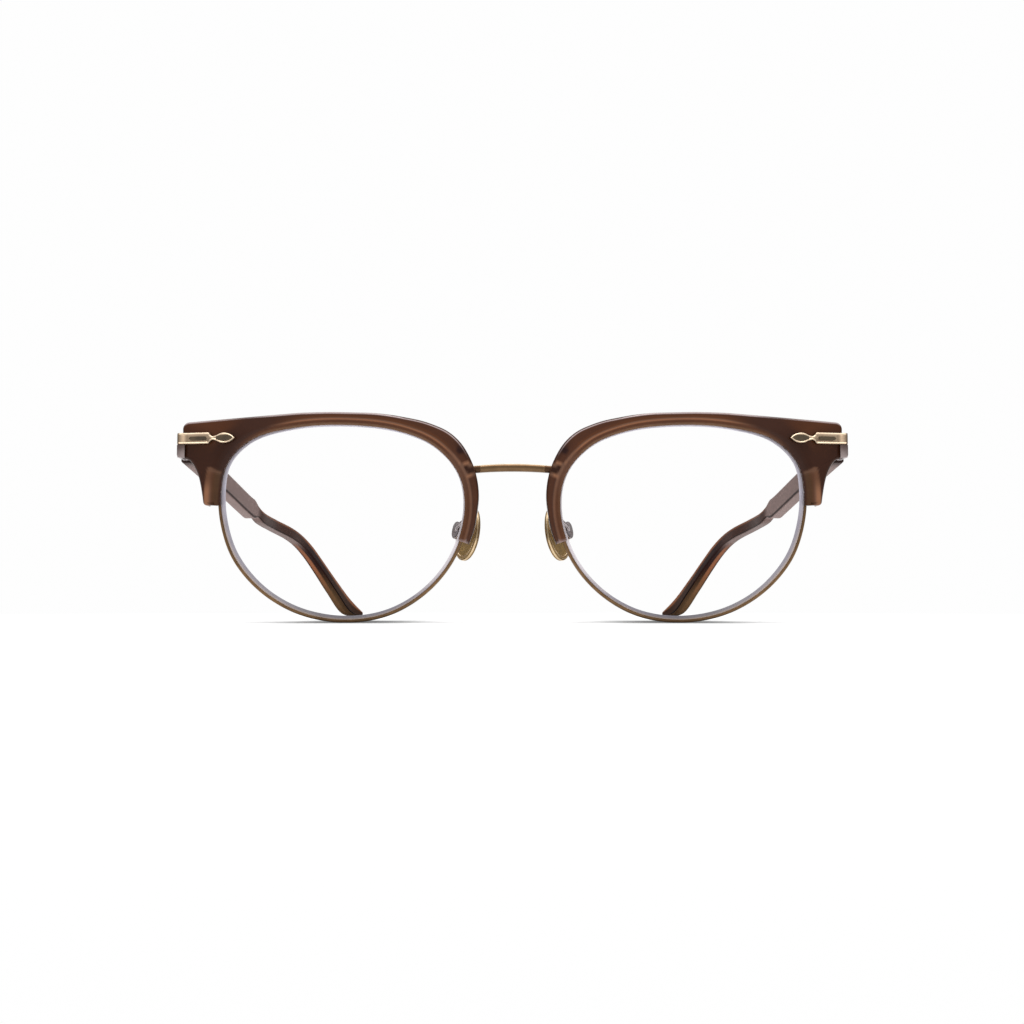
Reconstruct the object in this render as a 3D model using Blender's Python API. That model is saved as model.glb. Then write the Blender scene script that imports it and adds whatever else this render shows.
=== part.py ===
"""Panto eyeglasses: translucent brows on metal eyewires, nose pads and folding temples.

The front faces -Y, X runs across it and Z is up. Left is the wearer's left, at +X.
Front pieces are laid out flat, as (across, depth, height), and then wrapped round the face.
"""
import math

import bmesh
import bpy
from mathutils import Matrix, Vector

MM = 0.001

# Fits
CLEARANCE = 0.25 * MM
CUT_OVERRUN = 1.0 * MM
JOIN_OVERLAP = 0.2 * MM

# Lens opening, the panto shape
LENS_WIDTH = 52.3 * MM
LENS_HEIGHT = 41.0 * MM
LENS_GAP = 20.1 * MM
WRAP_RADIUS = 400.0 * MM
RIM_SHARES = (
    (-1.0, 0.12), (-0.95, 0.48), (-0.75, 0.772), (-0.455, 0.932), (-0.03, 1.0), (0.41, 0.974),
    (0.755, 0.852), (0.95, 0.61), (1.0, 0.27), (0.962, -0.09), (0.86, -0.395), (0.64, -0.70),
    (0.33, -0.92), (-0.04, -1.0), (-0.39, -0.925), (-0.695, -0.685), (-0.905, -0.335),
)

# Eyewire
EYEWIRE_THICKNESS = 0.85 * MM
EYEWIRE_DEPTH = 1.9 * MM
EYEWIRE_CHAMFER = 0.2 * MM
GROOVE_DEPTH = 0.45 * MM
GROOVE_WIDTH = 1.2 * MM
EYEWIRE_SLIT = 0.35 * MM

# Lens
LENS_THICKNESS = 1.9 * MM
LENS_DOME = 1.2 * MM
LENS_RING_SHARES = (0.35, 0.7)

# Brow
BROW_THICKNESS = 3.8 * MM
LIP_THICKNESS = 1.1 * MM
LIP_EDGE = 0.6 * MM
LIP_CHAMFER = 1.2 * MM
BROW_ROUNDING = 0.4 * MM
BROW_WIDTH = 2.65 * MM
BROW_WIDTH_SHARES = (
    (-9.5, 0.89), (-4.0, 0.98), (4.0, 1.01), (10.0, 1.13), (18.0, 1.27), (24.0, 1.41), (31.0, 1.60),
    (34.5, 1.63), (38.0, 1.60), (43.0, 1.46), (49.0, 1.34), (56.0, 1.21), (63.0, 1.14), (72.0, 1.09),
    (85.0, 1.02), (100.0, 1.04), (108.0, 1.08), (116.0, 1.17),
)

# End block of the brow, out from the lens opening
BLOCK_WIDTH = 8.85 * MM
BLOCK_RISE = 1.1 * MM
BLOCK_SIDE = 7.7 * MM
BLOCK_TAPER = 0.3 * MM
BLOCK_CORNER = 1.5 * MM
BLOCK_HEEL = 0.5 * MM
TAIL_WIDTH = 3.9 * MM
TAIL_HEIGHT = 3.62 * MM
TAIL_CORNER = 0.9 * MM
TAIL_ANGLE = 172.1
SHOULDER_SHARES = ((0.27, 0.04), (0.46, 0.13), (0.61, 0.25), (0.74, 0.39), (0.84, 0.56), (0.95, 0.83))

# Bridge
BRIDGE_HEIGHT = 1.72 * MM
BRIDGE_END_HEIGHT = 1.5 * MM
BRIDGE_DEPTH = 1.9 * MM
BRIDGE_RISE = 0.62 * MM
BRIDGE_LEVEL = 10.75 * MM
BRIDGE_SLOT = 2.6 * MM

# Fixing lug and screws of the brow
LUG_ANGLE = 31.5
LUG_REACH = 3.3 * MM
LUG_WIDTH = 1.8 * MM
LUG_THICKNESS = 0.8 * MM
LUG_HOLE_OFFSET = 2.55 * MM
SCREW_RADIUS = 0.5 * MM
SCREW_HEAD_RADIUS = 0.9 * MM
SCREW_HEAD_HEIGHT = 0.5 * MM
SCREW_BITE = 1.3 * MM

# Closing block of the eyewire
CLOSING_ANGLE = 166.0
CLOSING_REACH = 2.3 * MM
CLOSING_HEIGHT = 4.2 * MM
CLOSING_RECESS_WALL = 0.8 * MM
CLOSING_HEAD_RADIUS = 0.6 * MM
CLOSING_RECESS_ANGLE = 158.0
CLOSING_RECESS_END_ANGLE = 176.5

# End piece: plates behind and beside the end block
PLATE_THICKNESS = 0.9 * MM
PLATE_REACH = 8.6 * MM
PLATE_HEIGHT = 5.3 * MM
PLATE_DROP = 2.2 * MM
PLATE_TOP = 2.35 * MM
PLATE_SCREW_INSET = 1.4 * MM
SIDE_THICKNESS = 0.65 * MM
FLANGE_WIDTH = 1.75 * MM
FLANGE_THICKNESS = 0.5 * MM

# Plaque on the front
PLAQUE_THICKNESS = 0.75 * MM
PLAQUE_HEIGHT = 2.5 * MM
PLAQUE_BAR = 6.3 * MM
PLAQUE_NECK_GAP = 1.0 * MM
PLAQUE_NECK = 0.85 * MM
PLAQUE_LEAF_LENGTH = 4.95 * MM
PLAQUE_LEAF_HEIGHT = 2.3 * MM
PLAQUE_SIDE = 1.9 * MM
PLAQUE_RECESS = 0.25 * MM
PLAQUE_STRIPE_LENGTH = 4.3 * MM
PLAQUE_STRIPE_HEIGHT = 0.7 * MM
LEAF_RECESS_SHARE = 0.6
LEAF_SHARES = ((0.16, 0.55), (0.36, 0.93), (0.52, 1.0), (0.70, 0.86), (0.87, 0.48), (1.0, 0.0))

# Hinge
BARREL_RADIUS = 1.2 * MM
BARREL_HEIGHT = 1.25 * MM
BARREL_GAP = 0.2 * MM
HINGE_SCREW_RADIUS = 0.5 * MM
HINGE_LINK = 1.5 * MM
TEMPLE_JOINT_GAP = 0.4 * MM
LEAF_LENGTH = 9.0 * MM
LEAF_THICKNESS = 0.85 * MM
LEAF_HEIGHT = 3.0 * MM

# Temple
TEMPLE_HEIGHT = 4.85 * MM
TEMPLE_THICKNESS = 2.9 * MM
TEMPLE_PROUD = 0.62 * MM
TEMPLE_REACH = 132.6 * MM
TEMPLE_INSET = 21.0 * MM
TEMPLE_SINK = 0.65 * MM
TEMPLE_DROP = 35.25 * MM
TEMPLE_CHAMFER = 0.4 * MM
TIP_ROUNDING = 1.0 * MM
CORE_RADIUS = 0.5 * MM
CORE_STOP_SHARE = 0.92
# Back, inward, down, height and thickness, as shares of the temple's reach, inset, drop, height and thickness
TEMPLE_PATH_SHARES = (
    (0.0, 0.0, 0.0, 1.0, 1.0), (0.205, 0.064, 0.122, 1.0, 1.0), (0.362, 0.114, 0.223, 1.01, 1.0),
    (0.396, 0.126, 0.242, 1.0, 1.02), (0.423, 0.148, 0.257, 0.63, 0.89), (0.453, 0.172, 0.289, 0.62, 0.89),
    (0.550, 0.213, 0.322, 0.625, 0.925), (0.645, 0.326, 0.370, 0.645, 0.97),
    (0.708, 0.393, 0.419, 0.652, 1.01), (0.761, 0.471, 0.498, 0.68, 1.065),
    (0.814, 0.558, 0.608, 0.70, 1.12), (0.881, 0.708, 0.790, 0.81, 1.175),
    (0.949, 0.868, 0.965, 0.88, 1.195), (1.0, 1.018, 1.033, 0.30, 1.0),
)

# Nose pad
PAD_CENTRE_ACROSS = 9.58 * MM
PAD_CENTRE_DEPTH = 9.6 * MM
PAD_DROP = 2.25 * MM
PAD_HALF_HEIGHT = 6.0 * MM
PAD_HALF_WIDTH = 3.5 * MM
PAD_THICKNESS = 1.1 * MM
PAD_CROWN = 0.35 * MM
PAD_RIM = 0.45 * MM
PAD_RIM_SHARE = 0.80
PAD_SPLAY = 40.0
PAD_TILT = 17.0
PAD_EGG_SHARE = 0.12
LUG_BLADE = 0.9 * MM
LUG_BLADE_HEIGHT = 1.6 * MM
BOX_WALL = 0.5 * MM
BOX_HEIGHT = 3.6 * MM
BOX_DEPTH = 2.0 * MM
BOX_GAP = 0.55 * MM
PAD_SCREW_RADIUS = 0.35 * MM
PAD_SCREW_HEAD = 0.7 * MM
PAD_SCREW_GAP = 0.2 * MM
ARM_RADIUS = 0.5 * MM
ARM_BULGE = 1.7 * MM
ARM_START_ANGLE = 1.5
ARM_START_RISE = 2.6 * MM

# Fineness of the round shapes
RIM_STEPS = 12
BROW_STEPS = 2
TEMPLE_STEPS = 2
WIRE_STEPS = 3
EYEWIRE_COUNT = 52
LENS_COUNT = 44
CORNER_COUNT = 4
ROUND_COUNT = 12
HALVINGS = 16
NASAL_END_ANGLE = 60.0
PAD_COUNT = 24

LEFT = 1
RIGHT = -1

# Places that follow from the sizes above
LENS_X = (LENS_GAP + LENS_WIDTH) / 2
LENS_Z = EYEWIRE_THICKNESS + LENS_HEIGHT / 2
LENS_EDGE_X = LENS_X + LENS_WIDTH / 2
LENS_TOP_Z = LENS_Z + LENS_HEIGHT / 2
EYEWIRE_FRONT = LIP_THICKNESS + CLEARANCE
EYEWIRE_BACK = EYEWIRE_FRONT + EYEWIRE_DEPTH
EYEWIRE_MIDDLE = EYEWIRE_FRONT + EYEWIRE_DEPTH / 2
POCKET_WIDTH = EYEWIRE_THICKNESS + CLEARANCE
BLOCK_X = LENS_EDGE_X + BLOCK_WIDTH
BLOCK_TOP_Z = LENS_TOP_Z + BLOCK_RISE
BLOCK_HEEL_Z = BLOCK_TOP_Z - BLOCK_SIDE
TAIL_Z = LENS_Z + TAIL_HEIGHT
BRIDGE_Z = LENS_Z + BRIDGE_LEVEL
PLATE_FRONT = BROW_THICKNESS + CLEARANCE
PLATE_BACK = PLATE_FRONT + PLATE_THICKNESS
PLATE_TOP_Z = BLOCK_TOP_Z - PLATE_TOP
PLATE_LOW_Z = PLATE_TOP_Z - PLATE_HEIGHT
SIDE_X = BLOCK_X + CLEARANCE
SIDE_OUT_X = SIDE_X + SIDE_THICKNESS
PLAQUE_Z = PLATE_TOP_Z - PLAQUE_HEIGHT / 2


def wrap_depth(across):
    """How far back the front curves at a distance from its middle."""
    return across * across / (2 * WRAP_RADIUS)


TEMPLE_OUT_X = SIDE_OUT_X + TEMPLE_PROUD
TEMPLE_X = TEMPLE_OUT_X - TEMPLE_THICKNESS / 2
TEMPLE_IN_X = TEMPLE_OUT_X - TEMPLE_THICKNESS
HINGE_X = TEMPLE_IN_X - CLEARANCE - BARREL_RADIUS
HINGE_DEPTH = PLATE_BACK + wrap_depth(HINGE_X) + CLEARANCE + BARREL_RADIUS
STOP_DEPTH = PLATE_BACK + wrap_depth(SIDE_OUT_X)
TEMPLE_START = STOP_DEPTH + TEMPLE_JOINT_GAP
TEMPLE_Z = PLATE_LOW_Z + PLATE_HEIGHT / 2 - TEMPLE_SINK
HINGE_PITCH = BARREL_HEIGHT + BARREL_GAP
HINGE_LOW_Z = TEMPLE_Z - HINGE_PITCH - BARREL_HEIGHT / 2
HINGE_TOP_Z = TEMPLE_Z + HINGE_PITCH + BARREL_HEIGHT / 2
HALF_DEPTH = (TEMPLE_START + TEMPLE_REACH + TIP_ROUNDING) / 2


def clear_scene():
    for thing in list(bpy.data.objects):
        bpy.data.objects.remove(thing, do_unlink=True)


def collection(name):
    made = bpy.data.collections.new(name)
    bpy.context.scene.collection.children.link(made)
    return made


def material(name, colour, roughness, metallic=0.0, transmission=0.0):
    made = bpy.data.materials.new(name)
    made.use_nodes = True
    shader = made.node_tree.nodes["Principled BSDF"]
    shader.inputs["Base Color"].default_value = (*colour, 1.0)
    shader.inputs["Roughness"].default_value = roughness
    shader.inputs["Metallic"].default_value = metallic
    shader.inputs["Transmission Weight"].default_value = transmission
    return made


def empty(name, place, parent=None):
    """An empty at a place of the assembly; its pivot is kept for the meshes that hang on it."""
    made = bpy.data.objects.new(name, None)
    made.empty_display_size = BLOCK_WIDTH
    parts.objects.link(made)
    made.parent = parent
    made.location = place
    return made


def pivot_of(parent):
    """Where an empty stands in the assembly, whose own origin is the root empty."""
    return Vector() if parent is root else parent.location.copy()


def add_object(name, mesh, parent, group):
    mesh.transform(Matrix.Translation(-pivot_of(parent)))
    made = bpy.data.objects.new(name, mesh)
    group.objects.link(made)
    made.parent = parent
    return made


def part(name, mesh, finish, parent):
    """A named piece of the eyeglasses, shaded smooth with its sharp edges kept."""
    made = add_object(name, mesh, parent, parts)
    mesh.materials.append(finish)
    mesh.shade_smooth()
    mesh.set_sharp_from_angle(angle=math.radians(40))
    return made


def boolean(piece, operation, meshes):
    """Cuts the meshes from a piece, or joins them to it."""
    for number, mesh in enumerate(meshes):
        tool = add_object(f"{piece.name}_{operation.lower()}_{number}", mesh, piece.parent, cutters)
        tool.hide_render = True
        tool.display_type = "WIRE"
        step = piece.modifiers.new(tool.name, "BOOLEAN")
        step.operation = operation
        step.solver = "EXACT"
        step.object = tool
    return piece


def finished(shape, name="shape"):
    bmesh.ops.recalc_face_normals(shape, faces=shape.faces)
    mesh = bpy.data.meshes.new(name)
    shape.to_mesh(mesh)
    shape.free()
    return mesh


def smooth_points(points, steps, closed=False):
    """Points of a smooth curve through the given ones, with the same number to each stretch."""
    count = len(points)
    found = []
    for index in range(count if closed else count - 1):
        if closed:
            near = [Vector(points[(index + shift) % count]) for shift in (-1, 0, 1, 2)]
        else:
            near = [Vector(points[min(max(index + shift, 0), count - 1)]) for shift in (-1, 0, 1, 2)]
        gaps = [math.sqrt((near[k + 1] - near[k]).length) or math.sqrt((near[2] - near[1]).length)
                for k in range(3)]
        start_slope = ((near[1] - near[0]) / gaps[0] - (near[2] - near[0]) / (gaps[0] + gaps[1])
                       + (near[2] - near[1]) / gaps[1]) * gaps[1]
        end_slope = ((near[2] - near[1]) / gaps[1] - (near[3] - near[1]) / (gaps[1] + gaps[2])
                     + (near[3] - near[2]) / gaps[2]) * gaps[1]
        for step in range(steps):
            t = step / steps
            found.append(near[1] * (2 * t ** 3 - 3 * t ** 2 + 1) + start_slope * (t ** 3 - 2 * t ** 2 + t)
                         + near[2] * (3 * t ** 2 - 2 * t ** 3) + end_slope * (t ** 3 - t ** 2))
    if not closed:
        found.append(Vector(points[-1]))
    return found


def between(low, high, share):
    return low + (high - low) * share


# The rim's edge as a fine closed line, with its angle round the lens at each point
RIM_LINE = smooth_points(
    [(LENS_X + across * LENS_WIDTH / 2, LENS_Z + up * LENS_HEIGHT / 2) for across, up in RIM_SHARES],
    RIM_STEPS, closed=True)


def angle_of(point):
    """Angle round the lens in degrees: 0 towards the nose, 90 up, 180 towards the temple."""
    return math.degrees(math.atan2(point[1] - LENS_Z, LENS_X - point[0])) % 360


RIM_ANGLES = [angle_of(point) for point in RIM_LINE]


def rim_point(angle, offset=0.0):
    """Point (across, height) at an angle round the lens, off the rim's edge by an offset."""
    angle = angle % 360
    for index, start in enumerate(RIM_ANGLES):
        turn = (RIM_ANGLES[(index + 1) % len(RIM_ANGLES)] - start) % 360
        along = (angle - start) % 360
        if along <= turn:
            first = RIM_LINE[index]
            second = RIM_LINE[(index + 1) % len(RIM_LINE)]
            before = RIM_LINE[index - 1]
            after = RIM_LINE[(index + 2) % len(RIM_LINE)]
            share = along / turn
            run = between(second - before, after - first, share).normalized()
            outward = Vector((-run.y, run.x))
            spot = between(first, second, share)
            if outward.dot(spot - Vector((LENS_X, LENS_Z))) < 0:
                outward = -outward
            return spot + outward * offset
    raise ValueError("no rim point at this angle")


def width_at(angle):
    """Width of the brow beyond the rim's edge at an angle."""
    rows = BROW_WIDTH_SHARES
    for (low, low_share), (high, high_share) in zip(rows, rows[1:]):
        if angle <= high:
            return BROW_WIDTH * between(low_share, high_share, (angle - low) / (high - low))
    return BROW_WIDTH * rows[-1][1]


def laid(side, across, depth, height, wrapped=True):
    """A place of the front: mirrored to its side and curved round the face."""
    curve = wrap_depth(across) if wrapped else 0.0
    return Vector((side * across, depth + curve, height))


def loft(sections, closed=False):
    """A closed skin through sections of as many points each, with caps if it has ends."""
    shape = bmesh.new()
    rings = [[shape.verts.new(point) for point in section] for section in sections]
    pairs = list(zip(rings, rings[1:])) + ([(rings[-1], rings[0])] if closed else [])
    for near, far in pairs:
        for index in range(len(near)):
            follow = (index + 1) % len(near)
            shape.faces.new((near[index], near[follow], far[follow], far[index]))
    if not closed:
        shape.faces.new(reversed(rings[0]))
        shape.faces.new(rings[-1])
    return finished(shape)


def plate(side, outline, front, back, wrapped=True):
    """A flat plate: an outline of (across, height) points, extruded from front to back."""
    shape = bmesh.new()
    face = shape.faces.new([shape.verts.new(laid(side, x, front, z, wrapped)) for x, z in outline])
    moved = bmesh.ops.extrude_face_region(shape, geom=[face])
    verts = [item for item in moved["geom"] if isinstance(item, bmesh.types.BMVert)]
    bmesh.ops.translate(shape, verts=verts, vec=(0.0, back - front, 0.0))
    return finished(shape)


def box(side, low, high, wrapped=False):
    """A box between two corners given as (across, depth, height)."""
    outline = ((low[0], low[2]), (high[0], low[2]), (high[0], high[2]), (low[0], high[2]))
    return plate(side, outline, low[1], high[1], wrapped)


def rod(start, end, radius, count=ROUND_COUNT):
    """A round bar between two points of the assembly."""
    shape = bmesh.new()
    run = end - start
    place = Matrix.Translation((start + end) / 2) @ run.to_track_quat("Z", "X").to_matrix().to_4x4()
    bmesh.ops.create_cone(shape, cap_ends=True, segments=count, radius1=radius, radius2=radius,
                          depth=run.length, matrix=place)
    return finished(shape)


def block(centre, axes, sizes):
    """A box on three axes of its own, of full sizes along them."""
    shape = bmesh.new()
    turn = Matrix([axes[0], axes[1], axes[2]]).transposed().to_4x4()
    shaped = Matrix.Translation(centre) @ turn @ Matrix.Diagonal((*sizes, 1.0))
    bmesh.ops.create_cube(shape, size=1.0, matrix=shaped)
    return finished(shape)


def screw_meshes(head_end, tip_end, radius, head_radius, head_height):
    """Shank and head of a screw, the head outside its end of the shank."""
    run = (tip_end - head_end).normalized()
    shank = rod(head_end - run * JOIN_OVERLAP, tip_end, radius)
    head = rod(head_end - run * head_height, head_end, head_radius)
    return shank, head


def corner_arc(before, corner, after, radius, count=CORNER_COUNT):
    """Points that round off a corner of an outline."""
    corner = Vector(corner)
    first = (Vector(before) - corner).normalized()
    second = (Vector(after) - corner).normalized()
    half = first.angle(second) / 2
    centre = corner + (first + second).normalized() * radius / math.sin(half)
    start = corner + first * radius / math.tan(half) - centre
    finish = corner + second * radius / math.tan(half) - centre
    turn = start.angle_signed(finish)
    return [centre + Matrix.Rotation(-turn * step / count, 2) @ start for step in range(count + 1)]


def brow_outline():
    """Outer outline of the brow from the nose, over the top and down the tail."""
    crown = []
    for low, high in zip(BROW_WIDTH_SHARES, BROW_WIDTH_SHARES[1:]):
        for step in range(BROW_STEPS):
            angle = between(low[0], high[0], step / BROW_STEPS)
            crown.append(rim_point(angle, width_at(angle)))
    crown.append(rim_point(BROW_WIDTH_SHARES[-1][0], width_at(BROW_WIDTH_SHARES[-1][0])))
    top_corner = (BLOCK_X, BLOCK_TOP_Z)
    heel = (BLOCK_X - BLOCK_TAPER, BLOCK_HEEL_Z)
    tail_in = rim_point(TAIL_ANGLE)
    tail_corner = (tail_in.x + TAIL_WIDTH, TAIL_Z)
    shoulder = [(between(heel[0], tail_corner[0], share_in), between(heel[1], tail_corner[1], share_down))
                for share_in, share_down in SHOULDER_SHARES]
    top_edge = [between(crown[-1], Vector(top_corner), share) for share in (0.25, 0.5, 0.72, 0.88)]
    line = crown + top_edge
    line += corner_arc(crown[-1], top_corner, heel, BLOCK_CORNER)
    line += corner_arc(top_corner, heel, shoulder[0], BLOCK_HEEL)
    line += smooth_points(shoulder, BROW_STEPS)
    line += corner_arc(shoulder[-1], tail_corner, tail_in, TAIL_CORNER)
    return line


def outward_of(line, index):
    """Outward direction of an outline that runs from the nose over the top."""
    run = line[min(index + 1, len(line) - 1)] - line[max(index - 1, 0)]
    run.normalize()
    return Vector((-run.y, run.x))


def make_brow(side, finish, parent):
    """The acetate brow: lip over the eyewire in front, pocket for it behind, body outside it."""
    line = brow_outline()
    sections = []
    angle = BROW_WIDTH_SHARES[0][0]
    for index, outer in enumerate(line):
        own_angle = (angle_of(outer) + 180) % 360 - 180
        angle = min(max(angle, own_angle), TAIL_ANGLE) if index else angle
        inner = rim_point(angle)
        across = rim_point(angle, POCKET_WIDTH) - inner
        lip = across * LIP_CHAMFER / POCKET_WIDTH
        out = outward_of(line, index)
        round_in = outer - out * BROW_ROUNDING
        profile = (
            (inner, LIP_EDGE), (inner + lip, 0.0), (round_in, 0.0), (outer, BROW_ROUNDING),
            (outer, BROW_THICKNESS - BROW_ROUNDING), (round_in, BROW_THICKNESS),
            (inner + across, BROW_THICKNESS), (inner + across, LIP_THICKNESS), (inner, LIP_THICKNESS),
        )
        sections.append([laid(side, spot.x, depth, spot.y) for spot, depth in profile])
    brow = part(f"brow_{SIDE_NAMES[side]}", loft(sections), finish, parent)
    return boolean(brow, "DIFFERENCE", brow_cuts(side))


def brow_cuts(side):
    """Slot for the bridge, recesses for the lug and the closing block, and screw holes."""
    back = BROW_THICKNESS + CUT_OVERRUN
    nose_x = rim_point(0.0).x
    slot = box(side, (nose_x - BROW_WIDTH * 2, EYEWIRE_FRONT - CLEARANCE, BRIDGE_Z - BRIDGE_SLOT / 2),
               (nose_x + BROW_WIDTH, back, BRIDGE_Z + BRIDGE_SLOT / 2), wrapped=True)
    lug = lug_mesh(side, CLEARANCE, back)
    lug_hole = lug_screw_rod(side, SCREW_RADIUS + CLEARANCE, screw_tip_depth() - CLEARANCE, back)
    plate_hole = plate_screw_rod(side, SCREW_RADIUS + CLEARANCE, screw_tip_depth() - CLEARANCE, back)
    recess_sections = []
    steps = BROW_STEPS * 2
    for step in range(steps + 1):
        angle = between(CLOSING_RECESS_ANGLE, CLOSING_RECESS_END_ANGLE, step / steps)
        inner = rim_point(angle)
        reach = max(TAIL_WIDTH - CLOSING_RECESS_WALL, POCKET_WIDTH)
        points = (inner, inner + Vector((reach, 0.0)))
        recess_sections.append([laid(side, points[0].x, LIP_THICKNESS, points[0].y),
                                laid(side, points[1].x, LIP_THICKNESS, points[1].y),
                                laid(side, points[1].x, back, points[1].y),
                                laid(side, points[0].x, back, points[0].y)])
    return slot, lug, lug_hole, plate_hole, loft(recess_sections)


def lug_axes(side):
    """Place of the lug's root on the rim, and its outward and lengthwise directions."""
    root_spot = rim_point(LUG_ANGLE)
    out = (rim_point(LUG_ANGLE, LUG_REACH) - root_spot).normalized()
    return root_spot, out, Vector((-out.y, out.x))


def lug_mesh(side, margin, back):
    """The eyewire's fixing lug, grown by a margin for the recess that holds it."""
    root_spot, out, along = lug_axes(side)
    near = root_spot + out * (EYEWIRE_THICKNESS - JOIN_OVERLAP)
    far = root_spot + out * (LUG_REACH + margin)
    half = along * (LUG_WIDTH / 2 + margin)
    outline = [near - half, far - half, far + half, near + half]
    return plate(side, outline, EYEWIRE_BACK - LUG_THICKNESS - margin, back)


def screw_tip_depth():
    """Depth at which the brow's screws end inside the acetate."""
    return EYEWIRE_BACK - LUG_THICKNESS - SCREW_BITE


def lug_screw_rod(side, radius, front, back):
    root_spot, out, _ = lug_axes(side)
    spot = root_spot + out * LUG_HOLE_OFFSET
    return rod(laid(side, spot.x, front, spot.y), laid(side, spot.x, back, spot.y), radius)


def plate_screw_spot():
    return BLOCK_X - PLATE_REACH + PLATE_SCREW_INSET, PLATE_LOW_Z + PLATE_HEIGHT / 2


def plate_screw_rod(side, radius, front, back):
    across, height = plate_screw_spot()
    return rod(laid(side, across, front, height), laid(side, across, back, height), radius)


def make_eyewire(side, finish, parent):
    """The metal loop round the lens, slit at its closing block."""
    chamfer = EYEWIRE_CHAMFER
    profile = (
        (0.0, EYEWIRE_FRONT), (0.0, EYEWIRE_MIDDLE - GROOVE_WIDTH / 2), (GROOVE_DEPTH, EYEWIRE_MIDDLE),
        (0.0, EYEWIRE_MIDDLE + GROOVE_WIDTH / 2), (0.0, EYEWIRE_BACK),
        (EYEWIRE_THICKNESS - chamfer, EYEWIRE_BACK), (EYEWIRE_THICKNESS, EYEWIRE_BACK - chamfer),
        (EYEWIRE_THICKNESS, EYEWIRE_FRONT + chamfer), (EYEWIRE_THICKNESS - chamfer, EYEWIRE_FRONT),
    )
    half_slit = math.degrees(EYEWIRE_SLIT / LENS_WIDTH)
    sections = []
    for step in range(EYEWIRE_COUNT + 1):
        angle = CLOSING_ANGLE + half_slit + (360 - 2 * half_slit) * step / EYEWIRE_COUNT
        section = []
        for offset, depth in profile:
            spot = rim_point(angle, offset)
            section.append(laid(side, spot.x, depth, spot.y))
        sections.append(section)
    wire = part(f"eyewire_{SIDE_NAMES[side]}", loft(sections), finish, parent)
    boolean(wire, "UNION", (lug_mesh(side, 0.0, EYEWIRE_BACK), *closing_blocks(side)))
    hole_back = EYEWIRE_BACK + CUT_OVERRUN
    lug_hole = lug_screw_rod(side, SCREW_RADIUS + CLEARANCE / 2, LIP_THICKNESS, hole_back)
    top, bottom = closing_axis(side)
    run = (bottom - top).normalized()
    closing_hole = rod(top - run * CUT_OVERRUN, bottom + run * CUT_OVERRUN, SCREW_RADIUS)
    return boolean(wire, "DIFFERENCE", (lug_hole, closing_hole))


def closing_frame():
    """Middle of the closing block, its outward direction and its lengthwise one, downwards."""
    spot = rim_point(CLOSING_ANGLE)
    out = (rim_point(CLOSING_ANGLE, CLOSING_REACH) - spot).normalized()
    return spot, out, Vector((out.y, -out.x))


def closing_blocks(side):
    """The two halves of the closing block, above and below the slit."""
    spot, out, down = closing_frame()
    halves = []
    for low, high in ((-CLOSING_HEIGHT / 2, -EYEWIRE_SLIT / 2), (EYEWIRE_SLIT / 2, CLOSING_HEIGHT / 2)):
        near = spot + out * (EYEWIRE_THICKNESS - JOIN_OVERLAP)
        far = spot + out * CLOSING_REACH
        outline = [near + down * low, far + down * low, far + down * high, near + down * high]
        halves.append(plate(side, outline, EYEWIRE_FRONT, EYEWIRE_BACK))
    return halves


def closing_axis(side):
    """Top and bottom ends of the closing block on the line of its screw."""
    spot, out, down = closing_frame()
    middle = spot + out * (EYEWIRE_THICKNESS + CLOSING_REACH) / 2
    ends = [middle - down * CLOSING_HEIGHT / 2, middle + down * CLOSING_HEIGHT / 2]
    return [laid(side, end.x, EYEWIRE_MIDDLE, end.y) for end in ends]


def make_lens(side, finish, parent):
    """A domed lens whose edge stands in the eyewire's groove."""
    half = LENS_THICKNESS / 2
    bevel = GROOVE_WIDTH / 2

    def domed(share):
        return -LENS_DOME * (1 - share * share)

    rows = [(share, None, -half + domed(share)) for share in LENS_RING_SHARES]
    rows += [(1.0, -CLEARANCE, -half), (1.0, -CLEARANCE, -bevel), (1.0, GROOVE_DEPTH - CLEARANCE, 0.0),
             (1.0, -CLEARANCE, bevel), (1.0, -CLEARANCE, half)]
    rows += [(share, None, half + domed(share)) for share in reversed(LENS_RING_SHARES)]
    sections = []
    for share, offset, rise in rows:
        section = []
        for step in range(LENS_COUNT):
            spot = rim_point(360 * step / LENS_COUNT, -CLEARANCE if offset is None else offset)
            across = between(LENS_X, spot.x, share)
            height = between(LENS_Z, spot.y, share)
            section.append(laid(side, across, EYEWIRE_MIDDLE + rise, height))
        sections.append(section)
    return part(f"lens_{SIDE_NAMES[side]}", loft(sections), finish, parent)


def nasal_x(height, offset):
    """Where a line off the rim's edge by an offset stands at a height, on the nose's side."""
    low, high = 0.0, NASAL_END_ANGLE
    for _ in range(HALVINGS):
        middle = (low + high) / 2
        if rim_point(middle, offset).y < height:
            low = middle
        else:
            high = middle
    return rim_point(low, offset).x


def make_bridge(finish, parent):
    """A thin bar that arches up between the eyewires and thickens towards its middle."""
    half_depth = BRIDGE_DEPTH / 2
    size = 1 / math.cos(math.pi / 8)
    turns = [2 * math.pi * (corner + 0.5) / 8 for corner in range(8)]
    sections = []
    for step in range(ROUND_COUNT + 1):
        share = 2 * step / ROUND_COUNT - 1
        arch = 1 - share * share
        half = between(BRIDGE_END_HEIGHT, BRIDGE_HEIGHT, arch) / 2
        section = []
        for turn in turns:
            rise = half * math.sin(turn) * size
            across = nasal_x(BRIDGE_Z + rise, EYEWIRE_THICKNESS + CLEARANCE) * share
            depth = EYEWIRE_MIDDLE + wrap_depth(across) + half_depth * math.cos(turn) * size
            section.append(Vector((across, depth, BRIDGE_Z + BRIDGE_RISE * arch + rise)))
        sections.append(section)
    return part("bridge", loft(sections), finish, parent)


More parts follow.
